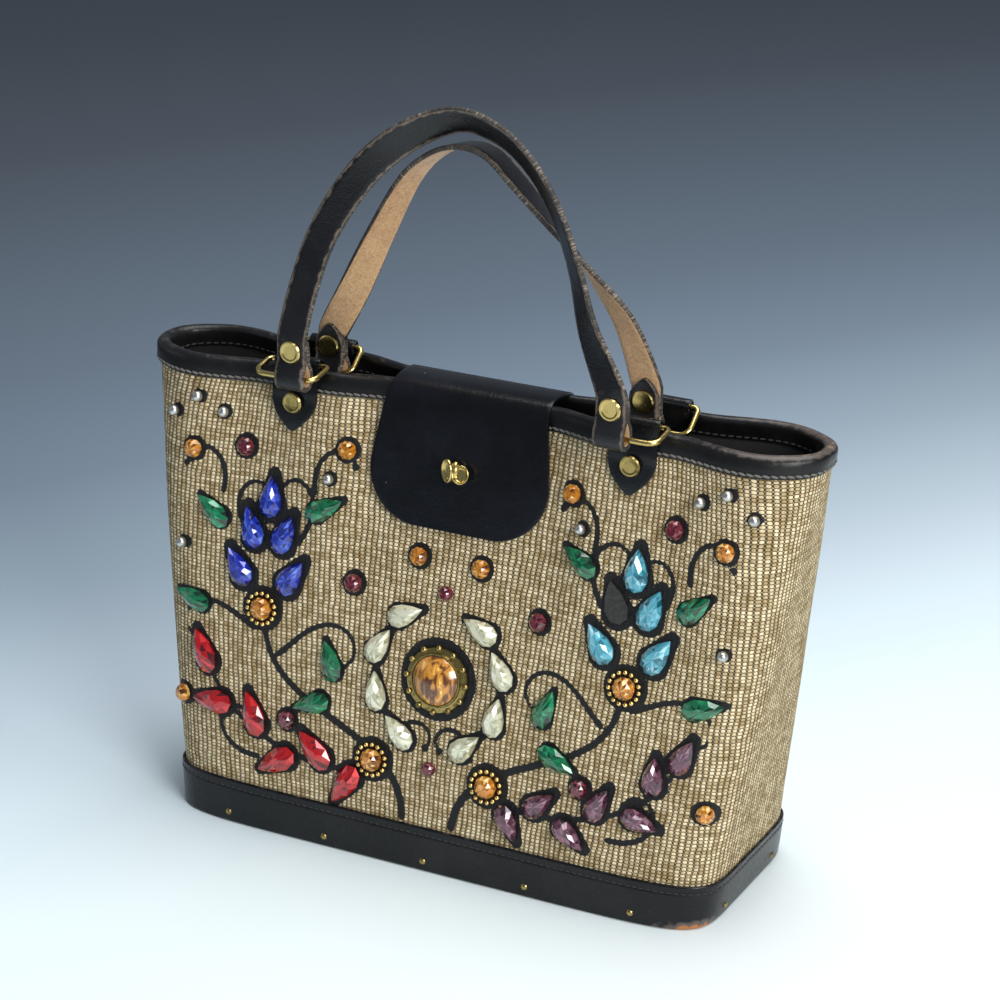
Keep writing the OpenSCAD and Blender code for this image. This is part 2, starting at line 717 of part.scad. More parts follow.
under_flap = (body_h - flap_drop - 14)/lay_z;
module amber_rounds() {
  color([0.72, 0.32, 0.03])
  for (s = [-1, 1], p = [[136, 178], [58, 188], [16, under_flap], [136, 57]])
    on_front(s*p[0], p[1]) round_stone(berry_d, 4.2);
}

module garnet_rounds() {
  color([0.4, 0.05, 0.1])
  for (s = [-1, 1], p = [[110, 182], [76.5, 57.5], [48, 128]])
    on_front(s*p[0], p[1]) round_stone(berry_d, 4.2);
  color([0.4, 0.05, 0.1])
  for (p = [[0, 132], [0, 50]]) on_front(p[0], p[1]) round_stone(berry_d*0.8, 3.8);
}

module silver_beads() {
  color([0.75, 0.75, 0.74])
  for (s = [-1, 1], p = [[122, 197], [135, 203], [147, 194], [65, 174], [139, 132]])
    on_front(s*p[0], p[1], 0, 0.3) translate([0, 0, 2.5]) sphere(d = 5);
}

module medallion_stone() {
  color([0.7, 0.34, 0.05])
  on_front(0, med_z, 0, 1.2) intersection() {
    translate([0, 0, -9]) sphere(d = 32);
    cylinder(h = 12, d = 23);
  }
}

module medallion_bezel() {
  color([0.55, 0.43, 0.2])
  on_front(0, med_z, 0, 0.75) union() {
    rotate_extrude() polygon([[11.9, 0], [15.6, 0], [15.2, 1.1], [12.9, 1.5], [12.6, 2.6], [11.9, 2.6]]);
    for (k = [0 : 11]) rotate([0, 0, 30*k]) translate([15.2, 0, 1.2]) sphere(d = 3);
  }
}

// Painted vines: thin lines of dark paint on the canvas
function curl(x, z, a, len, k0, k1, n) =
  [for (i = 0, px = x, pz = z, h = a; i <= n;
        px = px + len/n*sin(h), pz = pz + len/n*cos(h), h = h + mix(k0, k1, i/n)*len/n, i = i + 1)
    [px, pz]];
function stem(p, n) = [for (i = [0 : n]) bezier(p, i/n)];
module paint_line(path, w0, w1, s) {
  n = len(path);
  rings = [for (i = [0 : n - 1])
    let (
      q = on_lay(path[i], s),
      d = unit(on_lay(path[min(n - 1, i + 1)] - path[max(0, i - 1)], s)),
      w = mix(w0, w1, i/(n - 1))/2,
      a = q + w*[d[1], -d[0]],
      b = q - w*[d[1], -d[0]],
      na = front_n(q[0], q[1])
    ) [front_pt(a[0], a[1]) + na*0.47, front_pt(b[0], b[1]) + na*0.47,
       front_pt(b[0], b[1]) + na*0.68, front_pt(a[0], a[1]) + na*0.68]];
  skin(rings);
}

// Tendrils: start x and height, heading from upright, length, curving at start and at end
curls = [
  [98, 98, 70, 62, -1.2, 9], [84, 88, -50, 64, 1.2, -8.5], [104, 140, 40, 46, -0.5, -10.5],
  [78, 142, -30, 50, 0.2, 10], [92, 36, 90, 50, -1, -9.5], [20, 58, -10, 34, -2.5, -11],
  [120, 160, -10, 42, 2, 8], [72, 166, 8, 38, -1, -9]
];

module painted_vines() {
  color([0.09, 0.08, 0.07])
  for (s = [-1, 1]) {
    paint_line(stem([[13, 24], [16, 66], [84, 58], [92, 98]], 10), 4.2, 3.2, s);
    paint_line(stem(spray, 8), 3.2, 2.2, s);
    for (c = curls) paint_line(curl(c[0], c[1], c[2], c[3], c[4], c[5], 9), 3.2, 2, s);
  }
}

base_board();
base_band();
band_tacks();
body_wall();
lining();
rim_binding();
front_left_tab();
front_right_tab();
back_left_tab();
back_right_tab();
tab_rivets();
front_left_ring();
front_right_ring();
back_left_ring();
back_right_ring();
front_handle();
back_handle();
front_handle_rivets();
back_handle_rivets();
flap();
flap_anchor();
anchor_rivets();
turn_button_base();
turn_button();
painted_vines();
medallion_stone();
medallion_bezel();
gold_bead_rings();
amber_centres();
sapphire_drops();
aqua_drops();
crystal_drops();
ruby_drops();
amethyst_drops();
emerald_leaves();
amber_rounds();
garnet_rounds();
silver_beads();
lost_stone_seat();
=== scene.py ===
import math

import bpy
import numpy as np
from mathutils import Matrix, Vector


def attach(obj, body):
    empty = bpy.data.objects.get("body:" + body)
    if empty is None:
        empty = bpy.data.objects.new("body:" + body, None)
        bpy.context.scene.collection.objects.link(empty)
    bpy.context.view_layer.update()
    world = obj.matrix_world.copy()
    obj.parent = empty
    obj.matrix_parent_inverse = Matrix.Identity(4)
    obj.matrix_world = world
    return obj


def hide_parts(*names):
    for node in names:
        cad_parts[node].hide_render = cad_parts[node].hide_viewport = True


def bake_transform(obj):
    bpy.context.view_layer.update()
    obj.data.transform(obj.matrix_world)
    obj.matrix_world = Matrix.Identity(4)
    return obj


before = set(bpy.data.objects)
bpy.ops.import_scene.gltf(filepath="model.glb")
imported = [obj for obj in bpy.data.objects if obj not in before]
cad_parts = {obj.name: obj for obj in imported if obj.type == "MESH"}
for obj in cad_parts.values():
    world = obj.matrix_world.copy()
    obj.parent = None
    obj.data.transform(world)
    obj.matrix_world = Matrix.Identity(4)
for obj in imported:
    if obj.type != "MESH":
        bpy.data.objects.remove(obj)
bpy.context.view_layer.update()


# Base board
# A pressed board cut to the outline of the floor, with a dark paper face. The canvas is pulled
# down round its edge, and the leather band is tacked into it.
def new_finish(name):
    finish = bpy.data.materials.new(name)
    finish.use_nodes = True
    return finish, finish.node_tree, finish.node_tree.nodes["Principled BSDF"]


def node(tree, kind, feeds=None, **settings):
    made = tree.nodes.new(kind)
    for name, value in settings.items():
        setattr(made, name, value)
    for key, value in (feeds or {}).items():
        if isinstance(value, bpy.types.NodeSocket):
            tree.links.new(value, made.inputs[key])
        else:
            made.inputs[key].default_value = value
    return made


def calc(tree, operation, *values):
    made = node(tree, "ShaderNodeMath", operation=operation)
    for socket, value in zip(made.inputs, values):
        if isinstance(value, bpy.types.NodeSocket):
            tree.links.new(value, socket)
        else:
            socket.default_value = value
    return made.outputs[0]


def fade(tree, value, low, high, out_low=0.0, out_high=1.0):
    feeds = {"Value": value, "From Min": low, "From Max": high, "To Min": out_low, "To Max": out_high}
    return node(tree, "ShaderNodeMapRange", feeds, interpolation_type="SMOOTHSTEP").outputs["Result"]


def tint(tree, amount, first, second):
    made = node(tree, "ShaderNodeMix", data_type="RGBA")
    for index, value in ((0, amount), (6, first), (7, second)):
        if isinstance(value, bpy.types.NodeSocket):
            tree.links.new(value, made.inputs[index])
        else:
            made.inputs[index].default_value = value if index == 0 else (*value, 1.0)
    return made.outputs[2]


def speckle(tree, place, scale, detail=3.0, roughness=0.55):
    feeds = {"Vector": place, "Scale": scale, "Detail": detail, "Roughness": roughness}
    return node(tree, "ShaderNodeTexNoise", feeds).outputs["Fac"]


def relief(tree, shader, height, depth, under=None, strength=1.0):
    feeds = {"Height": height, "Distance": depth, "Strength": strength}
    if under is not None:
        feeds["Normal"] = under
    made = node(tree, "ShaderNodeBump", feeds)
    tree.links.new(made.outputs["Normal"], shader.inputs["Normal"])
    return made.outputs["Normal"]


def on_object(tree):
    return node(tree, "ShaderNodeTexCoord").outputs["Object"]


def on_attribute(tree, name):
    return node(tree, "ShaderNodeAttribute", attribute_name=name).outputs["Fac"]


def dress(node_name, finish):
    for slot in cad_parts[node_name].material_slots:
        slot.material = finish


board_finish, tree, shader = new_finish("dark_board")
place = on_object(tree)
fibres = speckle(tree, place, 900.0, 4.0)
tree.links.new(tint(tree, fibres, (0.012, 0.010, 0.009), (0.045, 0.036, 0.03)), shader.inputs["Base Color"])
shader.inputs["Roughness"].default_value = 0.8
relief(tree, shader, fibres, 0.0002)
dress("base_board", board_finish)


# Base band
# One strip of smooth black leather round the foot of the bag, glued over the canvas and tacked
# to the board, with a sewn line under its top edge. The front right corner is scuffed to the hide.
BODY_H, BASE_W, BASE_D, TOP_W, TOP_D = 222.0, 277.0, 110.0, 340.0, 75.0
MOUTH_MID, MOUTH_TAB, BASE_SQ, TOP_SQ = 21.0, 35.0, 8.2, 2.5
FLAP_TOP_W, TAB_X, TAB_W = 80.0, 86.0, 23.0
GAP, TRIM_T = 0.25, 1.5
BAND_H, BAND_SEAM_Z = 21.5, 17.9
SCUFFED_CORNER, SCUFF_R = (134.0, -48.0, 0.0), 13


def between(a, b, t):
    return a + (b - a) * t


def ease(v, a, b):
    t = np.clip((v - a) / (b - a), 0, 1)
    return t * t * (3 - 2 * t)


def half_w(z):
    return between(BASE_W, TOP_W, z / BODY_H) / 2


def half_d(z):
    return between(BASE_D, TOP_D, z / BODY_H) / 2


def squareness(z):
    return between(BASE_SQ, TOP_SQ, z / BODY_H)


def oval_y(x, a, b, n):
    return b * np.maximum(0, 1 - (np.abs(x) / a) ** n) ** (1 / n)


def pull(x, z):
    x = np.abs(x)
    mouth = between(MOUTH_MID, MOUTH_TAB, ease(x, FLAP_TOP_W / 2, TAB_X - TAB_W / 2 - 2)) / 2
    full = np.maximum(1, oval_y(np.minimum(x, TAB_X + 14), TOP_W / 2, TOP_D / 2, TOP_SQ))
    return 1 - (z / BODY_H) ** 2 * (1 - mouth / full) * (1 - ease(x, TAB_X + 14, TAB_X + 66))


def wall_y(x, z):
    return oval_y(x, half_w(z), half_d(z), squareness(z)) * pull(x, z)


def edge_at(turn, z):
    c, s, n = np.cos(turn), np.sin(turn), squareness(z)
    r = (np.abs(c) ** n + np.abs(s) ** n) ** (-1 / n)
    x = half_w(z) * r * c
    return np.stack([x, half_d(z) * r * s * pull(x, z)], -1)


def edge_off(turn, z, out):
    d = edge_at(turn + 0.01, z) - edge_at(turn - 0.01, z)
    d = d / np.linalg.norm(d, axis=-1, keepdims=True)
    out = np.asarray(out)[..., None] if np.ndim(out) else out
    return edge_at(turn, z) + out * np.stack([d[..., 1], -d[..., 0]], -1)


def turns_round(front, side, back):
    quarter = math.pi / 2
    runs = []
    for quarters, count in enumerate((front, side, back, side), start=3):
        runs.append(quarters * quarter + np.arctan(np.linspace(-1, 1, count, endpoint=False)))
    return np.concatenate(runs)


def ring(turns, z, out):
    flat = edge_off(turns, z, out)
    return np.concatenate([flat, np.full((len(turns), 1), float(z))], 1)


def mesh_piece(name, points, faces, finishes, uv=None, finish_index=None, smooth=True):
    mesh = bpy.data.meshes.new(name)
    mesh.from_pydata((np.asarray(points) / 1000).tolist(), [], [list(map(int, f)) for f in faces])
    if uv is not None:
        mesh.uv_layers.new(name="along").data.foreach_set("uv", np.asarray(uv, np.float32).ravel())
    if finish_index is not None:
        mesh.polygons.foreach_set("material_index", np.asarray(finish_index, np.int32))
    mesh.polygons.foreach_set("use_smooth", [smooth] * len(mesh.polygons))
    for finish in finishes:
        mesh.materials.append(finish)
    mesh.update()
    piece = bpy.data.objects.new(name, mesh)
    bpy.context.scene.collection.objects.link(piece)
    return piece


def grid_faces(rows, columns, wrap_rows=False, wrap_columns=True):
    j, i = np.meshgrid(
        np.arange(rows if wrap_rows else rows - 1),
        np.arange(columns if wrap_columns else columns - 1),
        indexing="ij",
    )
    j2, i2 = (j + 1) % rows, (i + 1) % columns
    quads = np.stack([j * columns + i, j * columns + i2, j2 * columns + i2, j2 * columns + i], -1)
    return quads.reshape(-1, 4)


def keep_number(piece, name, values, domain="POINT"):
    kept = piece.data.attributes.new(name, "FLOAT", domain)
    kept.data.foreach_set("value", np.asarray(values, np.float32))


def sway(tree, value, amount):
    return calc(tree, "MULTIPLY", calc(tree, "SUBTRACT", value, 0.5), amount)


def leather(name, dark, light, gloss, grain=0.9, worn=(0.16, 0.13, 0.11), raw=None, wear=None, dents=0.7,
            shine=0.32, pebble=0.5):
    finish, tree, shader = new_finish(name)
    place = on_object(tree)
    cells = node(tree, "ShaderNodeTexVoronoi", {"Vector": place, "Scale": 1000 / grain},
                 feature="SMOOTH_F1").outputs["Distance"]
    creases = speckle(tree, place, 260.0, 5.0, 0.6)
    patches = speckle(tree, place, 34.0, 4.0)
    # The blue cast in the given dark and light colours of the black leathers is painted reflection of the
    # blue-grey surroundings.
    colour = tint(tree, fade(tree, patches, 0.35, 0.75), dark, light)
    pits = node(tree, "ShaderNodeTexVoronoi", {"Vector": place, "Scale": 95.0}).outputs["Distance"]
    scuffs = calc(tree, "MULTIPLY", fade(tree, pits, 0.05, 0.02), fade(tree, patches, 0.5, 0.62))
    colour = tint(tree, scuffs, colour, worn)
    if wear is not None:
        rubbed = calc(tree, "ADD", on_attribute(tree, wear), calc(tree, "MULTIPLY", creases, 0.9))
        colour = tint(tree, fade(tree, rubbed, 0.75, 1.05), colour, worn)
        if raw is not None:
            colour = tint(tree, fade(tree, rubbed, 1.1, 1.35), colour, raw)
    tree.links.new(colour, shader.inputs["Base Color"])
    rough = calc(tree, "ADD", gloss, sway(tree, creases, 0.25))
    tree.links.new(rough, shader.inputs["Roughness"])
    shader.inputs["Specular IOR Level"].default_value = shine
    fine = relief(tree, shader, cells, 0.00012, strength=pebble)
    relief(tree, shader, creases, 0.00018, fine, dents)
    return finish


band_turns = turns_round(150, 40, 90)
band_profile = [
    (0.35, 0.5), (1.3, 0.5), (1.66, 0.75), (1.75, 1.3), (1.82, 6.0), (1.86, 11.0), (1.8, 16.0), (1.74, 17.4),
    (1.5, BAND_SEAM_Z), (1.74, 18.4), (1.74, 20.6), (1.62, BAND_H - 0.3), (1.3, BAND_H), (0.6, BAND_H),
    (0.35, BAND_H - 0.3),
]
band_rings = np.stack([ring(band_turns, z, out) for out, z in band_profile])
band_leather = leather(
    "band_leather", (0.0035, 0.0037, 0.0045), (0.009, 0.009, 0.011), 0.28, 1.3, (0.10, 0.085, 0.075),
    (0.42, 0.16, 0.05), "wear",
)
band = mesh_piece(
    "leather_base_band", band_rings.reshape(-1, 3), grid_faces(len(band_profile), len(band_turns), True),
    [band_leather],
)
corner = np.linalg.norm((band_rings - SCUFFED_CORNER) * [1, 1, 1.6], axis=-1)
low_edge = 1 - ease(band_rings[..., 2], 0.6, 3.4)
top_edge = ease(band_rings[..., 2], BAND_H - 0.8, BAND_H)
keep_number(band, "wear", (0.85 * np.exp(-(corner / SCUFF_R) ** 2) * (0.45 + 0.55 * low_edge)
                           + 0.26 * low_edge + 0.34 * top_edge).ravel())
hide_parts("base_band")
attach(band, "bag")


# Sewn line of the base band
# Black waxed thread, one lockstitch after another, set in the groove under the top edge.
def tree_inputs(tree, inputs):
    tree.interface.new_socket("Geometry", in_out="INPUT", socket_type="NodeSocketGeometry")
    made = {}
    for name, kind in inputs:
        made[name] = tree.interface.new_socket(name, in_out="INPUT", socket_type=kind).identifier
    tree.interface.new_socket("Geometry", in_out="OUTPUT", socket_type="NodeSocketGeometry")
    return tree.nodes.new("NodeGroupInput"), tree.nodes.new("NodeGroupOutput"), made


def stitch_maker():
    tree = bpy.data.node_groups.new("sewn_line", "GeometryNodeTree")
    given, result, keys = tree_inputs(tree, [
        ("Pitch", "NodeSocketFloat"), ("Stitch", "NodeSocketVector"), ("Slant", "NodeSocketFloat"),
        ("Thread", "NodeSocketMaterial"),
    ])
    line = node(tree, "GeometryNodeMeshToCurve", {"Mesh": given.outputs["Geometry"]})
    spaced = node(tree, "GeometryNodeResampleCurve",
                  {"Curve": line.outputs["Curve"], "Length": given.outputs["Pitch"]}, mode="LENGTH")
    bead = node(tree, "GeometryNodeMeshUVSphere", {"Segments": 8, "Rings": 5, "Radius": 0.5})
    shaped = node(tree, "GeometryNodeTransform",
                  {"Geometry": bead.outputs["Mesh"], "Scale": given.outputs["Stitch"]})
    tangent = node(tree, "GeometryNodeInputTangent")
    aim = node(tree, "FunctionNodeAlignRotationToVector", {"Vector": tangent.outputs["Tangent"]}, axis="X")
    lean = node(tree, "FunctionNodeAxisAngleToRotation",
                {"Axis": (0.0, 1.0, 0.0), "Angle": given.outputs["Slant"]})
    turned = node(tree, "FunctionNodeRotateRotation",
                  {"Rotation": aim.outputs["Rotation"], "Rotate By": lean.outputs["Rotation"]},
                  rotation_space="LOCAL")
    placed = node(tree, "GeometryNodeInstanceOnPoints",
                  {"Points": spaced.outputs["Curve"], "Instance": shaped.outputs["Geometry"],
                   "Rotation": turned.outputs["Rotation"]})
    solid = node(tree, "GeometryNodeRealizeInstances", {"Geometry": placed.outputs["Instances"]})
    shaded = node(tree, "GeometryNodeSetShadeSmooth", {"Geometry": solid.outputs["Geometry"]})
    coated = node(tree, "GeometryNodeSetMaterial",
                  {"Geometry": shaded.outputs["Geometry"], "Material": given.outputs["Thread"]})
    tree.links.new(coated.outputs["Geometry"], result.inputs["Geometry"])
    return tree, keys


def settle(piece):
    depsgraph = bpy.context.evaluated_depsgraph_get()
    mesh = bpy.data.meshes.new_from_object(piece.evaluated_get(depsgraph))
    piece.modifiers.clear()
    old = piece.data
    piece.data = mesh
    bpy.data.meshes.remove(old)
    mesh.name = piece.name
    return piece


def grow(piece, maker, **sizes):
    tree, keys = maker
    modifier = piece.modifiers.new("maker", "NODES")
    modifier.node_group = tree
    for name, value in sizes.items():
        modifier[keys[name]] = value
    return settle(piece)


def line_piece(name, points, closed=True):
    mesh = bpy.data.meshes.new(name)
    count = len(points)
    links = [(i, (i + 1) % count) for i in range(count if closed else count - 1)]
    mesh.from_pydata((np.asarray(points) / 1000).tolist(), links, [])
    piece = bpy.data.objects.new(name, mesh)
    bpy.context.scene.collection.objects.link(piece)
    return piece


def thread_finish(name, dark, light, gloss, twists, direction="X"):
    finish, tree, shader = new_finish(name)
    twist = node(tree, "ShaderNodeTexWave", {"Vector": on_object(tree), "Scale": twists},
                 bands_direction=direction).outputs["Fac"]
    tree.links.new(tint(tree, twist, dark, light), shader.inputs["Base Color"])
    shader.inputs["Roughness"].default_value = gloss
    relief(tree, shader, twist, 0.0001)
    return finish


sewn_line = stitch_maker()
thread = thread_finish("black_thread", (0.010, 0.010, 0.011), (0.05, 0.048, 0.046), 0.6, 900.0)
band_stitches = line_piece("base_band_stitches", ring(turns_round(300, 80, 200), BAND_SEAM_Z, 1.7))
grow(band_stitches, sewn_line, Pitch=0.0033, Stitch=(0.0027, 0.0007, 0.0007), Slant=0.06, Thread=thread)
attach(band_stitches, "bag")


# Band tacks
# Brass dome tacks driven through the band into the board, dulled where hands don't rub them.
def metal(name, bright, tarnish, gloss, aged):
    finish, tree, shader = new_finish(name)
    place = on_object(tree)
    cloud = speckle(tree, place, 260.0, 4.0, 0.55)
    fine = speckle(tree, place, 2600.0, 2.0)
    stain = fade(tree, calc(tree, "ADD", cloud, calc(tree, "MULTIPLY", fine, 0.25)), 0.72 - aged, 0.98 - aged)
    tree.links.new(tint(tree, stain, bright, tarnish), shader.inputs["Base Color"])
    shader.inputs["Metallic"].default_value = 1.0
    tree.links.new(calc(tree, "ADD", gloss, calc(tree, "MULTIPLY", stain, 0.22)), shader.inputs["Roughness"])
    relief(tree, shader, fine, 0.00002, strength=0.25)
    return finish


brass = metal("brass", (0.62, 0.47, 0.17), (0.30, 0.21, 0.07), 0.2, 0.06)
old_brass = metal("aged_brass", (0.40, 0.30, 0.11), (0.15, 0.11, 0.04), 0.24, 0.12)
dress("band_tacks", old_brass)


# Canvas wall
# A coarse plain-woven canvas of straw-coloured yarn over a stiff backing, pulled tight over the
# board and drawn together at the mouth. Black paint has soaked into the weave in vines, and in a
# dark ground under each group of stones.
WALL_T, LINING_T = 2.2, 0.9
MED_Z = 92.0
PLUME = np.array([94.0, 108.0])
PLUME_DROPS = [(14.5, 17.5, 34), (-14.5, 17.5, -34), (9, 37, 20), (-9, 37, -20), (0, 53, 0)]
SPRAY = np.array([(32.0, 44.0), (50.0, 33.0), (112.0, 41.0), (124.0, 82.0)])
STEM = np.array([(13.0, 24.0), (16.0, 66.0), (84.0, 58.0), (92.0, 98.0)])
CURLS = [
    (98, 98, 70, 62, -1.2, 9), (84, 88, -50, 64, 1.2, -8.5), (104, 140, 40, 46, -0.5, -10.5),
    (78, 142, -30, 50, 0.2, 10), (92, 36, 90, 50, -1, -9.5), (20, 58, -10, 34, -2.5, -11),
    (120, 160, -10, 42, 2, 8), (72, 166, 8, 38, -1, -9),
]
LEAVES = [(56, 90, 20), (64, 68, 112), (124, 150, 50), (66, 160, -60), (132, 106, 75)]
AMBERS = [(136, 178), (58, 188), (16, 146), (136, 57)]
GARNETS = [(110, 182), (76.5, 57.5), (48, 128)]
SILVERS = [(122, 197), (135, 203), (147, 194), (65, 174), (139, 132)]
BEAD_SPOTS = [(94.0, 108.0), (30.0, 48.0)]
DROP_L, DROP_W, DROP_H = 20.0, 11.6, 5.0
LOST_DROP = 3
WREATH_R, WREATH_TURNS = 33.0, (-58, -20, 18, 54)
PAINT_MARGINS = {
    "sapphire_drops": 2.8, "aqua_drops": 2.8, "crystal_drops": 1.6, "ruby_drops": 2.4, "amethyst_drops": 2.4,
    "emerald_leaves": 1.3,
}
UNPAINTED = 9.0
CANVAS_LOW, CANVAS_TOP = 1.0, 218.8
YARN_X, YARN_Z = 2.67, 1.68


def bezier(p, t):
    t = np.asarray(t, float)[..., None]
    return p[0] * (1 - t) ** 3 + 3 * p[1] * t * (1 - t) ** 2 + 3 * p[2] * t * t * (1 - t) + p[3] * t ** 3


def curl_path(x, z, heading, length, k0, k1, steps=45):
    points = []
    for i in range(steps + 1):
        points.append((x, z))
        x += length / steps * math.sin(math.radians(heading))
        z += length / steps * math.cos(math.radians(heading))
        heading += between(k0, k1, i / steps) * length / steps
    return np.array(points)


def spray_places(count):
    places = []
    for i in range(count):
        t = (i + 0.6) / count
        d = bezier(SPRAY, t + 0.01) - bezier(SPRAY, t - 0.01)
        side = 0 if i == count - 1 else (1 if i % 2 == 0 else -1)
        b = math.degrees(math.atan2(d[0], d[1])) + side * 44
        off = 8 if side == 0 else 9.5
        p = bezier(SPRAY, t) + off * np.array([math.sin(math.radians(b)), math.cos(math.radians(b))])
        places.append((p[0], p[1], b))
    return places


def plume_drop(s, x, z, turn):
    return s * (PLUME[0] + x), PLUME[1] + z, s * turn, DROP_L, DROP_W, DROP_H


def wreath_drop(s, turn):
    a = math.radians(turn)
    return (s * WREATH_R * math.cos(a), MED_Z + WREATH_R * math.sin(a), -s * (turn + 12),
            DROP_L * 0.95, DROP_W * 0.92, DROP_H)


# Places of the stones, as x, z, turn from upright, length, width and depth of the stone
stone_places = {
    "sapphire_drops": [plume_drop(-1, *drop) for drop in PLUME_DROPS],
    "aqua_drops": [plume_drop(1, *drop) for k, drop in enumerate(PLUME_DROPS) if k != LOST_DROP],
    "crystal_drops": [wreath_drop(s, turn) for s in (-1, 1) for turn in WREATH_TURNS],
    "ruby_drops": [(-x, z, -b, DROP_L * 1.12, DROP_W * 0.98, DROP_H) for x, z, b in spray_places(6)],
    "amethyst_drops": [(x, z, b, DROP_L * 0.92, DROP_W * 0.88, DROP_H) for x, z, b in spray_places(7)],
    "emerald_leaves": [(s * x, z, s * a, DROP_L, DROP_W * 0.86, DROP_H * 0.9)
                       for s in (-1, 1) for x, z, a in LEAVES],
}
lost_place = plume_drop(1, *PLUME_DROPS[LOST_DROP])


def off_line(points, path, width_0, width_1):
    a, b = path[:-1], path[1:]
    d = b - a
    share = np.linspace(0, 1, len(path))
    best = np.full(len(points), 1e9)
    for k in range(len(a)):
        t = np.clip(((points - a[k]) @ d[k]) / max(1e-9, d[k] @ d[k]), 0, 1)
        gap = np.linalg.norm(points - a[k] - t[:, None] * d[k], axis=1)
        best = np.minimum(best, gap - between(width_0, width_1, share[k]) / 2)
    return best


def off_drop(points, drop, margin):
    x, z, turn, length, width = drop[:5]
    way = np.array([math.sin(math.radians(turn)), math.cos(math.radians(turn))])
    a = np.array([x, z]) - way * length * 0.22
    d = way * length * 0.72
    t = np.clip(((points - a) @ d) / (d @ d), 0, 1)
    gap = np.linalg.norm(points - a - t[:, None] * d, axis=1)
    return gap - (width * 0.5 * (1 - 0.8 * t) + margin)


def run_along(path):
    return np.concatenate([[0], np.cumsum(np.linalg.norm(np.diff(path, axis=0), axis=1))])


def vector(tree, operation, *values):
    made = node(tree, "ShaderNodeVectorMath", dict(enumerate(values)), operation=operation)
    return made.outputs["Vector"]


def ridges(tree, wave, value):
    return calc(tree, "ABSOLUTE", calc(tree, wave, calc(tree, "MULTIPLY", value, math.pi)))


def drawn_out(tree, place, scale, detail, distortion=0.0):
    stretched = node(tree, "ShaderNodeMapping", {"Vector": place, "Scale": scale}).outputs["Vector"]
    feeds = {"Vector": stretched, "Scale": 1.0, "Detail": detail, "Distortion": distortion}
    return node(tree, "ShaderNodeTexNoise", feeds).outputs["Fac"]


canvas_turns = turns_round(236, 30, 110)
canvas_z = np.linspace(CANVAS_LOW, CANVAS_TOP, 150)
turn_grid, z_grid = np.meshgrid(canvas_turns, canvas_z)
drift = 0.16 * np.sin(3 * turn_grid + z_grid / 31) + 0.12 * np.sin(11 * turn_grid - z_grid / 19)
outer = np.concatenate([edge_off(turn_grid, z_grid, drift), z_grid[..., None]], -1)
inner_z = (CANVAS_TOP, 200.0, 170.0, 130.0, 90.0, 50.0, 9.0, CANVAS_LOW)
inner = np.stack([ring(canvas_turns, z, -WALL_T) for z in inner_z])
canvas_rings = np.concatenate([outer, inner])
columns = len(canvas_turns)
rows = len(canvas_rings)

girth_row = outer[60]
around = run_along(np.concatenate([girth_row, girth_row[:1]]))
yarns_round = 2 * round(around[-1] / YARN_X / 2)
u = np.tile(around / around[-1] * yarns_round, (rows, 1))
v = np.repeat(canvas_rings[:, 0, 2] / YARN_Z, columns + 1).reshape(rows, columns + 1)
jj, ii = np.meshgrid(np.arange(rows), np.arange(columns), indexing="ij")
jn = (jj + 1) % rows
canvas_uv = np.stack([
    np.stack([u[jj, ii], v[jj, ii]], -1), np.stack([u[jj, ii + 1], v[jj, ii + 1]], -1),
    np.stack([u[jn, ii + 1], v[jn, ii + 1]], -1), np.stack([u[jn, ii], v[jn, ii]], -1),
], 2).reshape(-1, 2)

canvas_finish, tree, shader = new_finish("painted_canvas")
cloth_uv = node(tree, "ShaderNodeUVMap", uv_map="along").outputs["UV"]
place = on_object(tree)
wander = node(tree, "ShaderNodeTexNoise", {"Vector": place, "Scale": 90.0, "Detail": 3.0}).outputs["Color"]
shift = vector(tree, "SUBTRACT", wander, (0.5, 0.5, 0.5))
shift = node(tree, "ShaderNodeVectorMath", {0: shift, "Scale": 0.9}, operation="SCALE").outputs["Vector"]
bent = vector(tree, "ADD", cloth_uv, shift)
part = node(tree, "ShaderNodeSeparateXYZ", {"Vector": bent})
across, up = part.outputs["X"], part.outputs["Y"]
column = ridges(tree, "COSINE", across)
furrow = ridges(tree, "SINE", across)
row = ridges(tree, "SINE", up)
half_row = ridges(tree, "COSINE", up)
raised = calc(tree, "MULTIPLY", calc(tree, "POWER", column, 0.8), calc(tree, "POWER", row, 0.5))
sunken = calc(tree, "MULTIPLY", calc(tree, "POWER", furrow, 1.5), calc(tree, "MULTIPLY", half_row, 0.55))
yarn = calc(tree, "MAXIMUM", raised, sunken)
float_cell = vector(tree, "FLOOR", vector(tree, "ADD", bent, (0.5, 0.0, 0.0)))
float_tone = node(tree, "ShaderNodeTexWhiteNoise", {"Vector": float_cell}).outputs["Value"]
fuzz = speckle(tree, place, 2400.0, 3.0, 0.7)
slub = drawn_out(tree, bent, (0.11, 0.9, 1.0), 2.0)
slub_up = drawn_out(tree, bent, (0.9, 0.09, 1.0), 2.0)
tone = calc(tree, "ADD", calc(tree, "MULTIPLY", slub, 0.4), calc(tree, "MULTIPLY", slub_up, 0.4))
tone = calc(tree, "ADD", tone, sway(tree, float_tone, 0.17))
straw = tint(tree, fade(tree, tone, 0.26, 0.54), (0.44, 0.315, 0.145), (0.98, 0.82, 0.53))
straw = tint(tree, fade(tree, fuzz, 0.3, 0.75, 0.0, 0.25), straw, (0.34, 0.22, 0.10))
# The near-black between the yarns is painted shade in the hollows of the weave.
cloth = tint(tree, fade(tree, yarn, 0.34, 0.68), (0.026, 0.016, 0.007), straw)
soak = calc(tree, "ADD", on_attribute(tree, "paint"), sway(tree, yarn, 0.55))
soak = calc(tree, "ADD", soak, sway(tree, fuzz, 0.7))
painted = fade(tree, soak, 0.18, -0.18)
thin = fade(tree, speckle(tree, place, 420.0, 4.0), 0.64, 0.75, 0.0, 0.22)
paint_colour = tint(tree, thin, (0.009, 0.009, 0.010), (0.10, 0.085, 0.065))
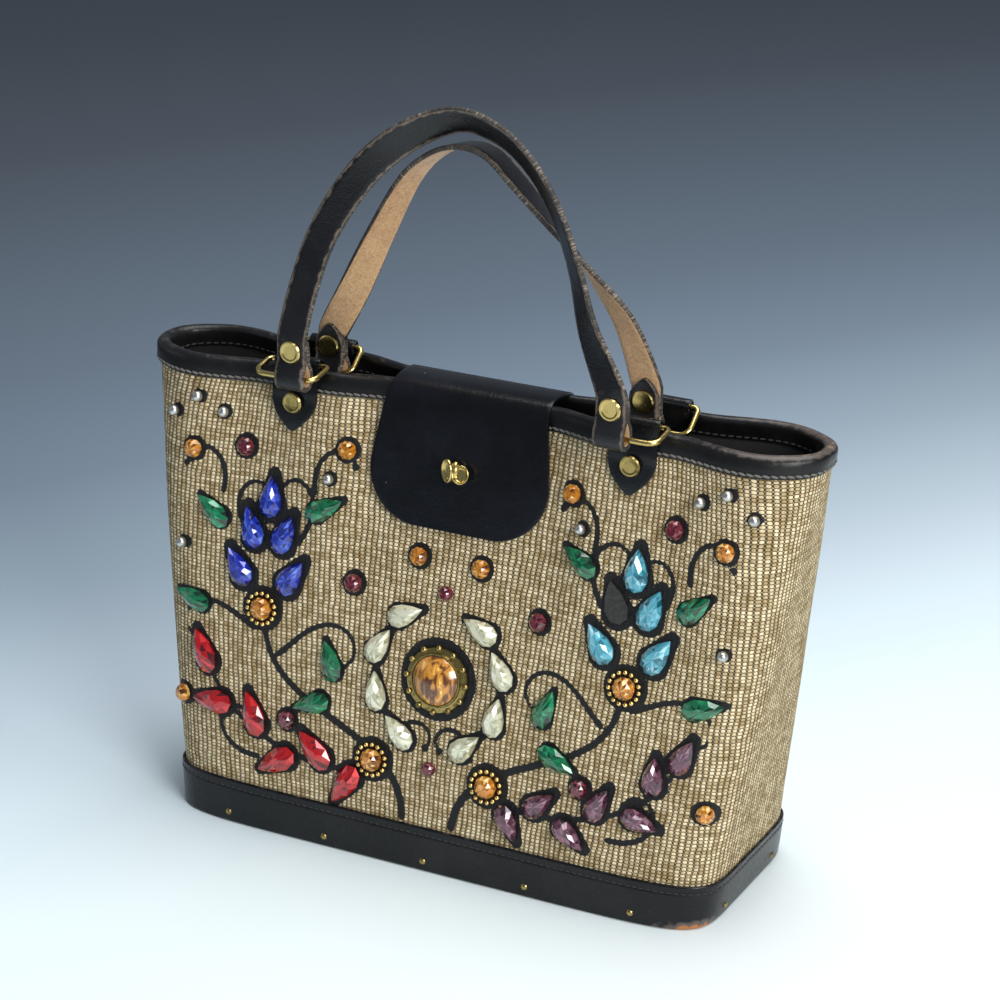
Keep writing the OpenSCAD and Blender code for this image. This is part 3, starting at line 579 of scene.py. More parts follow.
tree.links.new(tint(tree, painted, cloth, paint_colour), shader.inputs["Base Color"])
tree.links.new(fade(tree, painted, 0.0, 1.0, 0.85, 0.55), shader.inputs["Roughness"])
shader.inputs["Specular IOR Level"].default_value = 0.3
threads = calc(tree, "ADD", yarn, calc(tree, "MULTIPLY", fuzz, 0.18))
filled = calc(tree, "ADD", calc(tree, "MULTIPLY", threads, fade(tree, painted, 0.0, 1.0, 1.0, 0.45)),
              calc(tree, "MULTIPLY", painted, 0.35))
relief(tree, shader, filled, 0.00055)

canvas = mesh_piece(
    "canvas_wall", canvas_rings.reshape(-1, 3), grid_faces(rows, columns, True), [canvas_finish], canvas_uv,
)
paint = np.full((rows, columns), UNPAINTED)
front = np.zeros((rows, columns), bool)
front[: len(canvas_z)] = outer[..., 1] < -8
spots = canvas_rings[front][:, [0, 2]]
gap = np.full(len(spots), UNPAINTED)
for s in (-1, 1):
    here = spots * [s, 1]
    gap = np.minimum(gap, off_line(here, bezier(STEM, np.linspace(0, 1, 30)), 4.2, 3.2))
    gap = np.minimum(gap, off_line(here, bezier(SPRAY, np.linspace(0, 1, 30)), 3.4, 2.4))
    for c in CURLS:
        gap = np.minimum(gap, off_line(here, curl_path(*c), 3.2, 1.9))
        end = curl_path(*c)[-1]
        gap = np.minimum(gap, np.linalg.norm(here - end, axis=1) - 2.0)
    for places, ground_r in ((BEAD_SPOTS, 11.0), (AMBERS + GARNETS, 6.4), (SILVERS, 3.9)):
        for x, z in places:
            gap = np.minimum(gap, np.linalg.norm(here - [x, z], axis=1) - ground_r)
for kind, margin in PAINT_MARGINS.items():
    for drop in stone_places[kind]:
        gap = np.minimum(gap, off_drop(spots, drop, margin))
gap = np.minimum(gap, off_drop(spots, lost_place, PAINT_MARGINS["aqua_drops"]))
gap = np.minimum(gap, np.linalg.norm(spots - [0, MED_Z], axis=1) - 19.5)
paint[front] = gap
keep_number(canvas, "paint", np.clip(paint, -6, UNPAINTED).ravel())
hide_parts("body_wall", "painted_vines")
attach(canvas, "bag")


# Lining
# A plain black cotton lining, sewn in as a loose cup against the inside of the wall and over the
# board, so its floor lies a little slack.
CUP_UNDER, CUP_FLOOR = 9.3, 10.2
lining_turns = turns_round(80, 18, 80)
lining_z = np.concatenate([[CUP_UNDER, CUP_FLOOR, 12.0], np.linspace(18, 206, 22), [212.0, 218.6]])
slack = np.sin(9 * lining_turns) * 0.35 + np.sin(23 * lining_turns + 1.3) * 0.18


def inside_ring(z):
    belly = math.sin(math.pi * min(1, (z - 9) / 205))
    return ring(lining_turns, z, -WALL_T - GAP - LINING_T - (0.5 + slack) * belly)


lining_out = np.stack([ring(lining_turns, z, -WALL_T - GAP) for z in lining_z])
lining_in = np.stack([inside_ring(z) for z in lining_z[:0:-1]])
lining_rings = np.concatenate([lining_out, lining_in])
count = len(lining_turns)
lining_points = np.concatenate([lining_rings.reshape(-1, 3), [[0, 0, CUP_UNDER], [0, 0, CUP_FLOOR]]])
lining_faces = grid_faces(len(lining_rings), count).tolist()
last = (len(lining_rings) - 1) * count
for i in range(count):
    k = (i + 1) % count
    lining_faces.append([len(lining_points) - 2, k, i])
    lining_faces.append([len(lining_points) - 1, last + i, last + k])
lining_finish, tree, shader = new_finish("black_cotton")
place = on_object(tree)
ribs = node(tree, "ShaderNodeTexWave", {"Vector": place, "Scale": 420.0, "Distortion": 1.5},
            bands_direction="DIAGONAL").outputs["Fac"]
lint = speckle(tree, place, 700.0, 4.0)
tree.links.new(tint(tree, lint, (0.004, 0.004, 0.0045), (0.013, 0.0125, 0.013)), shader.inputs["Base Color"])
shader.inputs["Roughness"].default_value = 0.9
shader.inputs["Sheen Weight"].default_value = 0.15
relief(tree, shader, ribs, 0.0002, strength=0.6)
lining = mesh_piece("lining_cup", lining_points, lining_faces, [lining_finish])
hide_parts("lining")
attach(lining, "bag")


# Rim binding
# A strip of soft black leather folded over the raw edge of the canvas and sewn through with heavy
# thread. Hands have rubbed its crest grey-brown, most at the right end.
STACK_T = WALL_T + GAP + LINING_T
BIND_IN, BIND_H = STACK_T / 2 + GAP, 9.6
BIND_OUT = BIND_IN + TRIM_T
bind_turns = turns_round(190, 50, 170)
bind_half = [(BIND_IN, -BIND_H), (BIND_OUT - 0.35, -BIND_H), (BIND_OUT - 0.1, -BIND_H + 0.3),
             (BIND_OUT - 0.35, -BIND_H + 1.4), (BIND_OUT + 0.02, -6.6), (BIND_OUT + 0.05, -4.2)]
crest = [(BIND_OUT * math.cos(a), -3.4 + 3.4 * math.sin(a)) for a in np.radians(np.arange(12, 180, 12))]
bind_profile = bind_half + crest + [(-o, z - (0.6 if z < -8 else 0)) for o, z in bind_half[::-1]]
bind_profile += [(-BIND_IN, -2.8), (BIND_IN, -2.8)]
bind_rings = []
for out, drop in bind_profile:
    lump = 0.1 * np.sin(31 * bind_turns) * np.sin(7 * bind_turns + 1) if drop > -9 else 0
    bind_rings.append(ring(bind_turns, BODY_H + drop, -STACK_T / 2 + out + lump * np.sign(out)))
bind_rings = np.stack(bind_rings)
bind_leather = leather(
    "rim_leather", (0.004, 0.004, 0.0045), (0.010, 0.0095, 0.0095), 0.34, 1.0, (0.075, 0.06, 0.052),
    (0.26, 0.17, 0.11), "wear",
)
binding = mesh_piece(
    "rim_binding_leather", bind_rings.reshape(-1, 3), grid_faces(len(bind_profile), len(bind_turns), True),
    [bind_leather],
)
worn_end = ease(bind_rings[..., 0], 95, 172)
keep_number(binding, "wear", (ease(bind_rings[..., 2], BODY_H - 3.0, BODY_H) * (0.3 + 0.3 * worn_end)
                              + 0.1 * worn_end).ravel())
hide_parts("rim_binding")
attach(binding, "bag")

rope_thread = thread_finish("rim_thread", (0.05, 0.047, 0.044), (0.24, 0.225, 0.205), 0.65, 700.0, "DIAGONAL")
seam_turns = turns_round(300, 80, 260)
rim_outer = ring(seam_turns, BODY_H - BIND_H + 1.3, -STACK_T / 2 + BIND_OUT - 0.15)
rim_stitches = line_piece("rim_stitches_outside", rim_outer)
grow(rim_stitches, sewn_line, Pitch=0.0036, Stitch=(0.0039, 0.0011, 0.0012), Slant=0.22, Thread=rope_thread)
rim_inner = ring(seam_turns, BODY_H - BIND_H + 0.7, -STACK_T / 2 - BIND_OUT + 0.15)
inner_stitches = line_piece("rim_stitches_inside", rim_inner)
grow(inner_stitches, sewn_line, Pitch=0.0036, Stitch=(0.003, 0.0009, 0.0009), Slant=0.06, Thread=thread)
for stitches in (rim_stitches, inner_stitches):
    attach(stitches, "bag")


# Leather tabs
# Four straps of black leather, each folded over the rim round the bar of a ring, with a pointed
# outer end, and riveted through the wall.
TAB_T, TAB_DROP, WIRE_D, BAR_SHIFT = 1.9, 28.5, 2.6, 2.5
RING_PLACES = [("front_left", -1, -1), ("front_right", 1, -1), ("back_left", -1, 1), ("back_right", 1, 1)]
WIRE_R = WIRE_D / 2
BAR_Z = BODY_H + 0.4 + WIRE_R + 1
tab_mid = float(wall_y(TAB_X, BODY_H)) - STACK_T / 2


def tab_y(z):
    return float(wall_y(TAB_X, z))


def smooth_path(points, steps):
    points = np.asarray(points, float)
    ends = np.concatenate([[2 * points[0] - points[1]], points, [2 * points[-1] - points[-2]]])
    made = []
    for i in range(len(points) - 1):
        p0, p1, p2, p3 = ends[i:i + 4]
        for t in np.arange(steps) / steps:
            made.append(0.5 * (2 * p1 + (p2 - p0) * t + (2 * p0 - 5 * p1 + 4 * p2 - p3) * t ** 2
                               + (3 * p1 - p0 - 3 * p2 + p3) * t ** 3))
    return np.array(made + [points[-1]])


def slab(name, path, halves, thick, finishes, across=9, middle=0.0, edge_round=0.45):
    """A strip of leather that follows path (y, z) and is halves wide to each side of middle."""
    share = np.linspace(-1, 1, across)
    points = np.array([[middle + h * s, p[0], p[1]] for p, h in zip(path, halves) for s in share])
    piece = mesh_piece(name, points, grid_faces(len(path), across, False, False), finishes)
    body = piece.modifiers.new("thickness", "SOLIDIFY")
    body.thickness, body.offset = thick / 1000, 0.0
    body.use_even_offset = True
    rounding = piece.modifiers.new("rounding", "BEVEL")
    rounding.width, rounding.segments, rounding.limit_method = edge_round / 1000, 2, "ANGLE"
    rounding.angle_limit = math.radians(50)
    return settle(piece)


tab_leather = leather("tab_leather", (0.0035, 0.004, 0.005), (0.009, 0.010, 0.0125), 0.27, 1.1)
half_t = TAB_T / 2
up_z, low_z, tip_z, end_z = BODY_H - 3.5, BODY_H - BIND_H, BODY_H - TAB_DROP, BODY_H - 24
clear = GAP + TRIM_T + 0.35
low_y = tab_y(low_z) + clear
tip_y = max(tab_y(tip_z) + 0.5, low_y + 1.5)
out_y = tab_y(up_z) + clear
in_y = tab_y(up_z) - STACK_T - clear
end_y = tab_y(end_z) - STACK_T - 2.4
tip_shape = [(0.0, 1.1), (2.4, 4.0), (6.7, 8.2), (11.0, 10.7), (15.0, 11.5), (40.0, 11.5)]
over_bar = np.radians(np.arange(0, 181, 22.5))
roll = WIRE_R + 0.2 + half_t
for where, sx, sy in RING_PLACES:
    bar_y = tab_mid - sy * BAR_SHIFT
    legs = [(tip_y + half_t, tip_z), (tip_y + half_t - 0.4, tip_z + 5), (low_y + half_t + 0.4, low_z - 5),
            (low_y + half_t, low_z), (out_y + half_t, up_z)]
    legs += [(bar_y + roll * math.cos(a), BAR_Z + roll * math.sin(a)) for a in over_bar]
    legs += [(in_y - half_t, up_z), (between(in_y, end_y, 0.5) - half_t, between(up_z, end_z, 0.5)),
             (end_y - half_t, end_z)]
    path = smooth_path(legs, 5) * [sy, 1]
    halves = np.interp(run_along(path), *zip(*tip_shape))
    tab = slab("leather_tab_" + where, path, halves, TAB_T, [tab_leather], middle=sx * TAB_X)
    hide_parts(where + "_tab")
    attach(tab, "bag")
dress("tab_rivets", old_brass)


# Rings
# Bent brass wire, closed at the bar. The tabs hold the bar and the straps hang on the bow.
for where, _, _ in RING_PLACES:
    dress(where + "_ring", brass)


# Handles
# Two straps of black grained leather with tan suede backs and raw cut edges. Each end goes round
# the bow of a ring, turns back on itself and is closed with a rivet.
STRAP_W, STRAP_T, HANDLE_RISE, RING_DEPTH = 15.0, 2.4, 127.5, 15.0
LAP, LOOP_R, LOOP_X, RIVET_UP = STRAP_T / 2 + 0.15, WIRE_R + 1.8 + STRAP_T / 2, TAB_X - 5.5, 13.5
FRONT_DOWN, BACK_DOWN = 10, 40
GRAIN_SIDE, SUEDE_SIDE, CUT_SIDE = 0, 1, 2
FRONT_ARCH = [
    (-78.5, -28.5, 0.31), (-71.5, -23.7, 0.51), (-59, -20.7, 0.69), (-44.5, -18.4, 0.83), (-26, -16.6, 0.938),
    (-5, -15.6, 1), (14, -16.1, 0.969), (28, -17.3, 0.898), (40.4, -19.1, 0.788), (49, -21, 0.675),
    (57, -23.3, 0.53), (65, -26.5, 0.345),
]
FRONT_FACE = [
    (-0.05, -1, 0), (-0.1, -1, -0.05), (-0.1, -0.97, -0.2), (-0.1, -0.93, -0.35), (0, -0.87, -0.5),
    (0, -0.83, -0.56), (-0.2, -0.8, -0.56), (-0.4, -0.75, -0.5), (-0.55, -0.72, -0.4), (-0.65, -0.7, -0.25),
    (-0.68, -0.73, -0.1), (-0.5, -0.86, 0),
]
BACK_ARCH = [
    (-67, -0.5, 0.282), (-51.5, -4.5, 0.51), (-35, -8.3, 0.732), (-21.6, -10.2, 0.842), (-7, -11, 0.898),
    (7.6, -10.8, 0.887), (21, -9.2, 0.792), (36, -7.3, 0.665), (55.4, -4.1, 0.489), (70.8, -0.4, 0.321),
]
BACK_FACE = [
    (-0.5, 0.86, 0), (-0.8, 0.6, 0.1), (-0.8, 0.35, 0.45), (-0.55, 0.2, 0.8), (0, 0.1, 1), (0.35, 0, 0.93),
    (0.7, 0, 0.7), (0.8, 0.2, 0.55), (0.7, 0.6, 0.3), (0.4, 0.9, 0.1),
]


def bow_at(x, sy, down):
    a = math.radians(down)
    y = sy * tab_mid - BAR_SHIFT - RING_DEPTH * math.cos(a)
    return np.array([x, y, BAR_Z - RING_DEPTH * math.sin(a)])


front_bows = [bow_at(sx * LOOP_X, -1, FRONT_DOWN) for sx in (-1, 1)]
back_bows = [bow_at(sx * LOOP_X, 1, BACK_DOWN) for sx in (-1, 1)]


def unit(v):
    return v / np.linalg.norm(v, axis=-1, keepdims=True)


def strap_path(bows, arch, faces, sy):
    loop = np.radians(np.arange(180, 361, 15))
    end = [(-LAP, up) for up in (24, 22.3, 20.5, 17, RIVET_UP, 8)] + [(-LOOP_R * 0.88, 3.8)]
    end += [(LOOP_R * math.cos(a), LOOP_R * math.sin(a)) for a in loop]
    end += [(LOOP_R * 0.88, 3.8), (LAP, 8), (LAP, RIVET_UP), (LAP, 19.5)]
    look = [(0, -sy, 0)] * 6 + [(0, -sy * 0.9, -0.3)]
    look += [(0, sy * math.cos(a), math.sin(a)) for a in loop] + [(0, sy * 0.9, -0.3)] + [(0, sy, 0)] * 3
    halves = [0.06, 0.21, 0.33, 0.47] + [0.5] * (len(end) - 4)
    left, right = ([bow + [0, sy * p[0], p[1]] for p in end] for bow in bows)
    right = right[::-1]
    raised = [(x, y, BODY_H + r * HANDLE_RISE) for x, y, r in arch]
    guide = smooth_path([left[-2], left[-1], *raised, right[0], right[1]], 10)[10:-10]
    guide_look = smooth_path([look[-1], look[-1], *faces, look[-1], look[-1]], 10)[10:-10]
    points = np.concatenate([left[:-1], guide, right[1:]])
    looks = np.concatenate([look[:-1], guide_look, look[::-1][1:]])
    width = np.array(halves[:-1] + [0.5] * len(guide) + halves[::-1][1:]) * STRAP_W
    return points, looks, width


def strap(name, bows, arch, faces, sy, finishes):
    points, looks, width = strap_path(bows, arch, faces, sy)
    n = len(points)
    ahead = unit(points[np.minimum(np.arange(n) + 1, n - 1)] - points[np.maximum(np.arange(n) - 1, 0)])
    wide = unit(np.cross(ahead, looks))
    face = unit(np.cross(wide, ahead))
    t = STRAP_T / 2
    flat = np.array([-1, -0.93, -0.6, -0.2, 0.2, 0.6, 0.93, 1])
    high = np.array([0.55, 0.97, 1, 1.02, 1.02, 1, 0.97, 0.55]) * t
    ring_w = np.concatenate([flat, flat[::-1]])
    ring_h = np.concatenate([high, -high[::-1]])
    sides = len(ring_w)
    body = (points[:, None] + ring_w[None, :, None] * width[:, None, None] * wide[:, None]
            + ring_h[None, :, None] * face[:, None])
    quads = grid_faces(n, sides)
    round_strap = [CUT_SIDE] + [GRAIN_SIDE] * 5 + [CUT_SIDE] * 3 + [SUEDE_SIDE] * 5 + [CUT_SIDE] * 2
    faces_all = quads.tolist() + [list(range(sides))[::-1], list(range((n - 1) * sides, n * sides))]
    kind = np.concatenate([np.tile(round_strap, n - 1), [CUT_SIDE, CUT_SIDE]])
    run = np.repeat(run_along(points), sides)
    corner = np.stack([run, np.tile(ring_w, n) * np.repeat(width, sides)], -1) / 1000
    uv = np.concatenate([corner[np.asarray(f)] for f in faces_all])
    made = mesh_piece(name, body.reshape(-1, 3), faces_all, finishes, uv, kind)
    edge = np.tile(np.abs(ring_w), n)
    high_up = ease(body.reshape(-1, 3)[:, 2], 300, 345)
    cut_wear = np.where(edge > 0.9, 0.42, 0.0)
    keep_number(made, "wear", cut_wear + 0.16 * ease(edge, 0.55, 0.95) + 0.05 * high_up)
    return made


strap_leather = leather(
    "strap_leather", (0.005, 0.005, 0.006), (0.012, 0.012, 0.0145), 0.3, 0.95, (0.15, 0.115, 0.085),
    (0.42, 0.29, 0.18), "wear", dents=1.0, shine=0.4, pebble=1.0,
)
suede, tree, shader = new_finish("tan_suede")
place = on_object(tree)
nap = speckle(tree, place, 900.0, 5.0, 0.75)
blotch = speckle(tree, place, 120.0, 5.0, 0.65)
colour = tint(tree, fade(tree, blotch, 0.25, 0.75), (0.29, 0.14, 0.05), (0.45, 0.26, 0.115))
height = node(tree, "ShaderNodeSeparateXYZ", {"Vector": place}).outputs["Z"]
colour = tint(tree, fade(tree, height, 0.32, 0.25, 0.0, 0.6), colour, (0.60, 0.39, 0.21))
colour = tint(tree, fade(tree, nap, 0.5, 0.68, 0.0, 0.6), colour, (0.66, 0.48, 0.31))
colour = tint(tree, fade(tree, nap, 0.5, 0.34, 0.0, 0.6), colour, (0.24, 0.11, 0.04))
tree.links.new(colour, shader.inputs["Base Color"])
shader.inputs["Roughness"].default_value = 0.92
shader.inputs["Sheen Weight"].default_value = 0.25
relief(tree, shader, nap, 0.0003, strength=0.8)
cut_edge, tree, shader = new_finish("raw_leather_edge")
strap_uv = node(tree, "ShaderNodeUVMap", uv_map="along").outputs["UV"]
dashes = drawn_out(tree, strap_uv, (1300.0, 1300.0, 1.0), 3.0)
grey = speckle(tree, on_object(tree), 45.0, 3.0)
colour = tint(tree, fade(tree, dashes, 0.45, 0.7), (0.035, 0.028, 0.023), (0.26, 0.215, 0.17))
colour = tint(tree, fade(tree, grey, 0.42, 0.6, 0.0, 0.85), colour, (0.02, 0.018, 0.018))
tree.links.new(colour, shader.inputs["Base Color"])
shader.inputs["Roughness"].default_value = 0.7
relief(tree, shader, dashes, 0.0002)
for where, bows, arch, faces, sy in (("front", front_bows, FRONT_ARCH, FRONT_FACE, -1),
                                     ("back", back_bows, BACK_ARCH, BACK_FACE, 1)):
    handle = strap(where + "_strap", bows, arch, faces, sy, [strap_leather, suede, cut_edge])
    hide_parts(where + "_handle")
    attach(handle, where + "_handle")
    dress(where + "_handle_rivets", brass)


# Flap
# One piece of smooth black leather, riveted to the back, folded over the mouth and hanging down
# the front with rounded corners. Its hole goes over the turn button.
FLAP_T, FLAP_W, FLAP_DROP, FLAP_R, KNOB_DROP, BEND_R = 2.0, 91.0, 62.0, 26.0, 35.0, 6.0
ANCHOR_DROP, HOLE_HALF_W, HOLE_HALF_H, HOLE_SIDES = 34, 7.8, 6.5, 32
FLAP_Z = BODY_H + 0.4
KNOB_Z = BODY_H - KNOB_DROP


def leaf_y(z):
    return float(wall_y(0.0, z))


lip_y = leaf_y(BODY_H - BEND_R) + GAP + TRIM_T + 0.5


def flap_side(low):
    t = FLAP_T / 2
    bend = [(lip_y - BEND_R + (BEND_R + t) * math.cos(a), FLAP_Z - BEND_R + (BEND_R + t) * math.sin(a))
            for a in np.radians(np.arange(90, -1, -15))]
    zc = BODY_H - BIND_H
    down = [(leaf_y(zc) + GAP + TRIM_T + 1 + t, zc)]
    if low < KNOB_Z - 1:
        down.append((leaf_y(KNOB_Z) + 1.9 + t, KNOB_Z))
    return bend + down + [(leaf_y(low) + 0.7 + t, low)]


flap_low = BODY_H - FLAP_DROP
front_run = smooth_path([(-y, z) for y, z in flap_side(flap_low)], 7)
back_run = smooth_path(flap_side(BODY_H - ANCHOR_DROP), 5)
flap_path = np.concatenate([back_run[::-1], front_run])


def flap_half(y, z):
    if y > 0 or z > BODY_H:
        return FLAP_TOP_W / 2
    centre = flap_low + FLAP_R
    if z < centre:
        return FLAP_W / 2 - FLAP_R + math.sqrt(max(0.0, FLAP_R ** 2 - (centre - z) ** 2))
    half_widths = [FLAP_W / 2, between(FLAP_TOP_W, FLAP_W, 0.55) / 2, FLAP_TOP_W / 2 + 0.3]
    return float(np.interp(z, [centre, BODY_H - 18, BODY_H], half_widths))


run = run_along(flap_path)
straight = run[-1] - FLAP_R
rounded = straight + FLAP_R * np.sin(np.linspace(0, math.pi / 2, 26))[1:]
even = np.concatenate([np.linspace(0, straight, 84), rounded])
flap_path = np.stack([np.interp(even, run, flap_path[:, 0]), np.interp(even, run, flap_path[:, 1])], -1)
reach = np.minimum(7, np.minimum(np.arange(len(flap_path)), np.arange(len(flap_path))[::-1]))
flap_path = np.array([flap_path[i - r:i + r + 1].mean(0) for i, r in enumerate(reach)])
halves = [flap_half(y, z) for y, z in flap_path]
flap_leather = leather(
    "flap_leather", (0.003, 0.0035, 0.005), (0.007, 0.008, 0.0115), 0.25, 1.5, (0.20, 0.19, 0.18),
    dents=0.22, shine=0.24,
)
flap_piece = slab("flap_leather_piece", flap_path, halves, FLAP_T, [flap_leather], across=31, edge_round=0.5)
knob_lean = math.atan((leaf_y(KNOB_Z - 6) - leaf_y(KNOB_Z + 6)) / 12)
hole_turns = np.linspace(0, 2 * math.pi, HOLE_SIDES, endpoint=False)
hole_ring = [(HOLE_HALF_W * math.cos(a), HOLE_HALF_H * math.sin(a)) for a in hole_turns]
cutter_points = [(x, y, KNOB_Z - 1 + z) for y in (-40.0, -8.0) for x, z in hole_ring]
cutter_faces = grid_faces(2, HOLE_SIDES).tolist()
cutter_faces += [list(range(HOLE_SIDES))[::-1], list(range(HOLE_SIDES, 2 * HOLE_SIDES))]
cutter = mesh_piece("hole_cutter", cutter_points, cutter_faces, [flap_leather])
hole = flap_piece.modifiers.new("hole", "BOOLEAN")
hole.object, hole.operation, hole.solver = cutter, "DIFFERENCE", "EXACT"
settle(flap_piece)
bpy.data.objects.remove(cutter)
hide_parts("flap", "flap_anchor")
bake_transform(flap_piece)
dress("anchor_rivets", old_brass)


# Turn button
# A small cast brass button with two dished lobes on a post. Its plate is riveted to the wall under
# the flap.
dress("turn_button_base", old_brass)
KNOB_SIDES = 28
knob_turns = np.linspace(0, 2 * math.pi, KNOB_SIDES, endpoint=False)


def lobe(spot, tilt, swing, wide, tall, thick):
    """A dished disc with a raised rim, tilted about x and swung about y on the button's own axes."""
    profile = [(0.0, 0.0), (0.84, 0.0), (0.97, 0.2), (1.0, 0.62), (0.96, 0.92), (0.88, 1.0), (0.8, 0.86),
               (0.7, 0.46), (0.5, 0.36), (0.0, 0.42)]
    rings = np.array([
        [(wide * r * math.cos(a), tall * r * math.sin(a), thick * (h - 0.5)) for a in knob_turns]
        for r, h in profile
    ])
    turn = np.array(Matrix.Rotation(swing, 3, "Y") @ Matrix.Rotation(tilt, 3, "X"))
    return rings @ turn.T + spot


def boss(spot, radii):
    angles = np.linspace(math.pi, 0, 10)
    return np.array([[(math.sin(b) * math.cos(a), math.sin(b) * math.sin(a), math.cos(b)) for a in knob_turns]
                     for b in angles]) * radii + spot


knob_parts = [
    lobe([-3.3, 0.2, 8.2], 0.16, -0.5, 3.9, 5.7, 2.5), lobe([3.3, -0.6, 8.2], -0.1, 0.2, 4.1, 4.6, 2.5),
    boss([-0.2, 0.4, 7.0], [2.6, 4.9, 3.0]), boss([0.0, 0.0, 6.0], [2.6, 2.6, 1.6]),
]
knob_points, knob_faces = [], []
for part in knob_parts:
    start = sum(len(p) for p in knob_points)
    faces = grid_faces(*part.shape[:2])
    knob_faces += (faces + start).tolist()
    knob_points.append(part.reshape(-1, 3))
knob_points = np.concatenate(knob_points)
lean = np.array(Matrix.Rotation(math.pi / 2 - knob_lean, 3, "X"))
knob = mesh_piece("turn_knob", knob_points @ lean.T + [0, -leaf_y(KNOB_Z), KNOB_Z], knob_faces, [brass])
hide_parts("turn_button")
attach(knob, "turn_button")


# Stones
# Foil-backed glass with polished facets: drops, leaves and round berries, each glued to the canvas
# through the paint.
def front_frame(x, z, turn, lift):
    def spot(a, b):
        return np.array([a, -float(wall_y(a, b)), b])
    n = unit(np.cross(spot(x + 0.5, z) - spot(x - 0.5, z), spot(x, z + 0.5) - spot(x, z - 0.5)))
    r = unit(np.array([1.0, 0, 0]) - n * n[0])
    up = np.cross(n, r)
    a = math.radians(turn)
    return spot(x, z) + n * lift, r * math.cos(a) - up * math.sin(a), up * math.cos(a) + r * math.sin(a), n


def setting_maker():
    tree = bpy.data.node_groups.new("set_stones", "GeometryNodeTree")
    given, result, keys = tree_inputs(tree, [("Stone", "NodeSocketObject"), ("Finish", "NodeSocketMaterial")])
    stone = node(tree, "GeometryNodeObjectInfo", {"Object": given.outputs["Stone"]})

    def stored(name, kind):
        made = node(tree, "GeometryNodeInputNamedAttribute", {"Name": name}, data_type=kind)
        return [s for s in made.outputs if s.enabled and s.name == "Attribute"][0]
    turn = node(tree, "FunctionNodeEulerToRotation", {"Euler": stored("turn", "FLOAT_VECTOR")})
    placed = node(tree, "GeometryNodeInstanceOnPoints",
                  {"Points": given.outputs["Geometry"], "Instance": stone.outputs["Geometry"],
                   "Rotation": turn.outputs["Rotation"], "Scale": stored("size", "FLOAT_VECTOR")})
    solid = node(tree, "GeometryNodeRealizeInstances", {"Geometry": placed.outputs["Instances"]})
    coated = node(tree, "GeometryNodeSetMaterial",
                  {"Geometry": solid.outputs["Geometry"], "Material": given.outputs["Finish"]})
    tree.links.new(coated.outputs["Geometry"], result.inputs["Geometry"])
    return tree, keys


set_stones = setting_maker()


def setting(name, places, template, finish, lift):
    mesh = bpy.data.meshes.new(name)
    frames = [front_frame(p[0], p[1], p[2], lift) for p in places]
    mesh.from_pydata([(f[0] / 1000).tolist() for f in frames], [], [])
    turns = [tuple(Matrix(np.stack(f[1:], 1).tolist()).to_euler()) for f in frames]
    sizes = [(p[4] / 1000, p[3] / 1000, p[5] / 1000) for p in places]
    for key, values in (("turn", turns), ("size", sizes)):
        mesh.attributes.new(key, "FLOAT_VECTOR", "POINT").data.foreach_set("vector", np.ravel(values))
    piece = bpy.data.objects.new(name, mesh)
    keep_number(piece, "tone", np.random.default_rng(len(name)).random(len(places)))
    bpy.context.scene.collection.objects.link(piece)
    return grow(piece, set_stones, Stone=template, Finish=finish)


def cut_stone(name, outline, girdle, levels):
    """A faceted stone one unit wide, long and high: rings of the outline, each half a step on."""
    count = len(outline)
    rings = [[(x * 0.95, y * 0.95, 0.0) for x, y in outline], [(x, y, girdle) for x, y in outline]]
    for k, (scale, height) in enumerate(levels):
        ring_points = []
        for i in range(count):
            a, b = outline[i], outline[(i + 1) % count]
            x, y = (a if k % 2 else ((a[0] + b[0]) / 2, (a[1] + b[1]) / 2))
            ring_points.append((x * scale, y * scale - 0.05 * (1 - scale), height))
        rings.append(ring_points)
    points = [p for r in rings for p in r]
    faces = [[i, (i + 1) % count, count + (i + 1) % count, count + i] for i in range(count)]
    faces.append(list(range(count))[::-1])
    for k in range(len(levels)):
        a, b = (k + 1) * count, (k + 2) * count
        for i in range(count):
            j = (i + 1) % count
            if k % 2:
                faces += [[a + i, b + j, b + i], [a + i, a + j, b + j]]
            else:
                faces += [[a + i, a + j, b + i], [a + j, b + j, b + i]]
    faces.append([(len(rings) - 1) * count + i for i in range(count)])
    piece = mesh_piece(name, np.array(points) * 1000, faces, [], smooth=False)
    keep_number(piece, "facet", np.random.default_rng(7).random(len(faces)), "FACE")
    loops = np.zeros(len(piece.data.loops), np.int64)
    piece.data.loops.foreach_get("vertex_index", loops)
    from_above = np.array(points)[loops, :2].astype(np.float32)
    piece.data.uv_layers.new(name="stone").data.foreach_set("uv", from_above.ravel())
    return piece


def drop_outline(count, m):
    a = 2 * np.pi * np.arange(count) / count
    return list(zip(-0.65 * np.sin(a) * np.abs(np.sin(a / 2)) ** m, 0.5 * np.cos(a)))


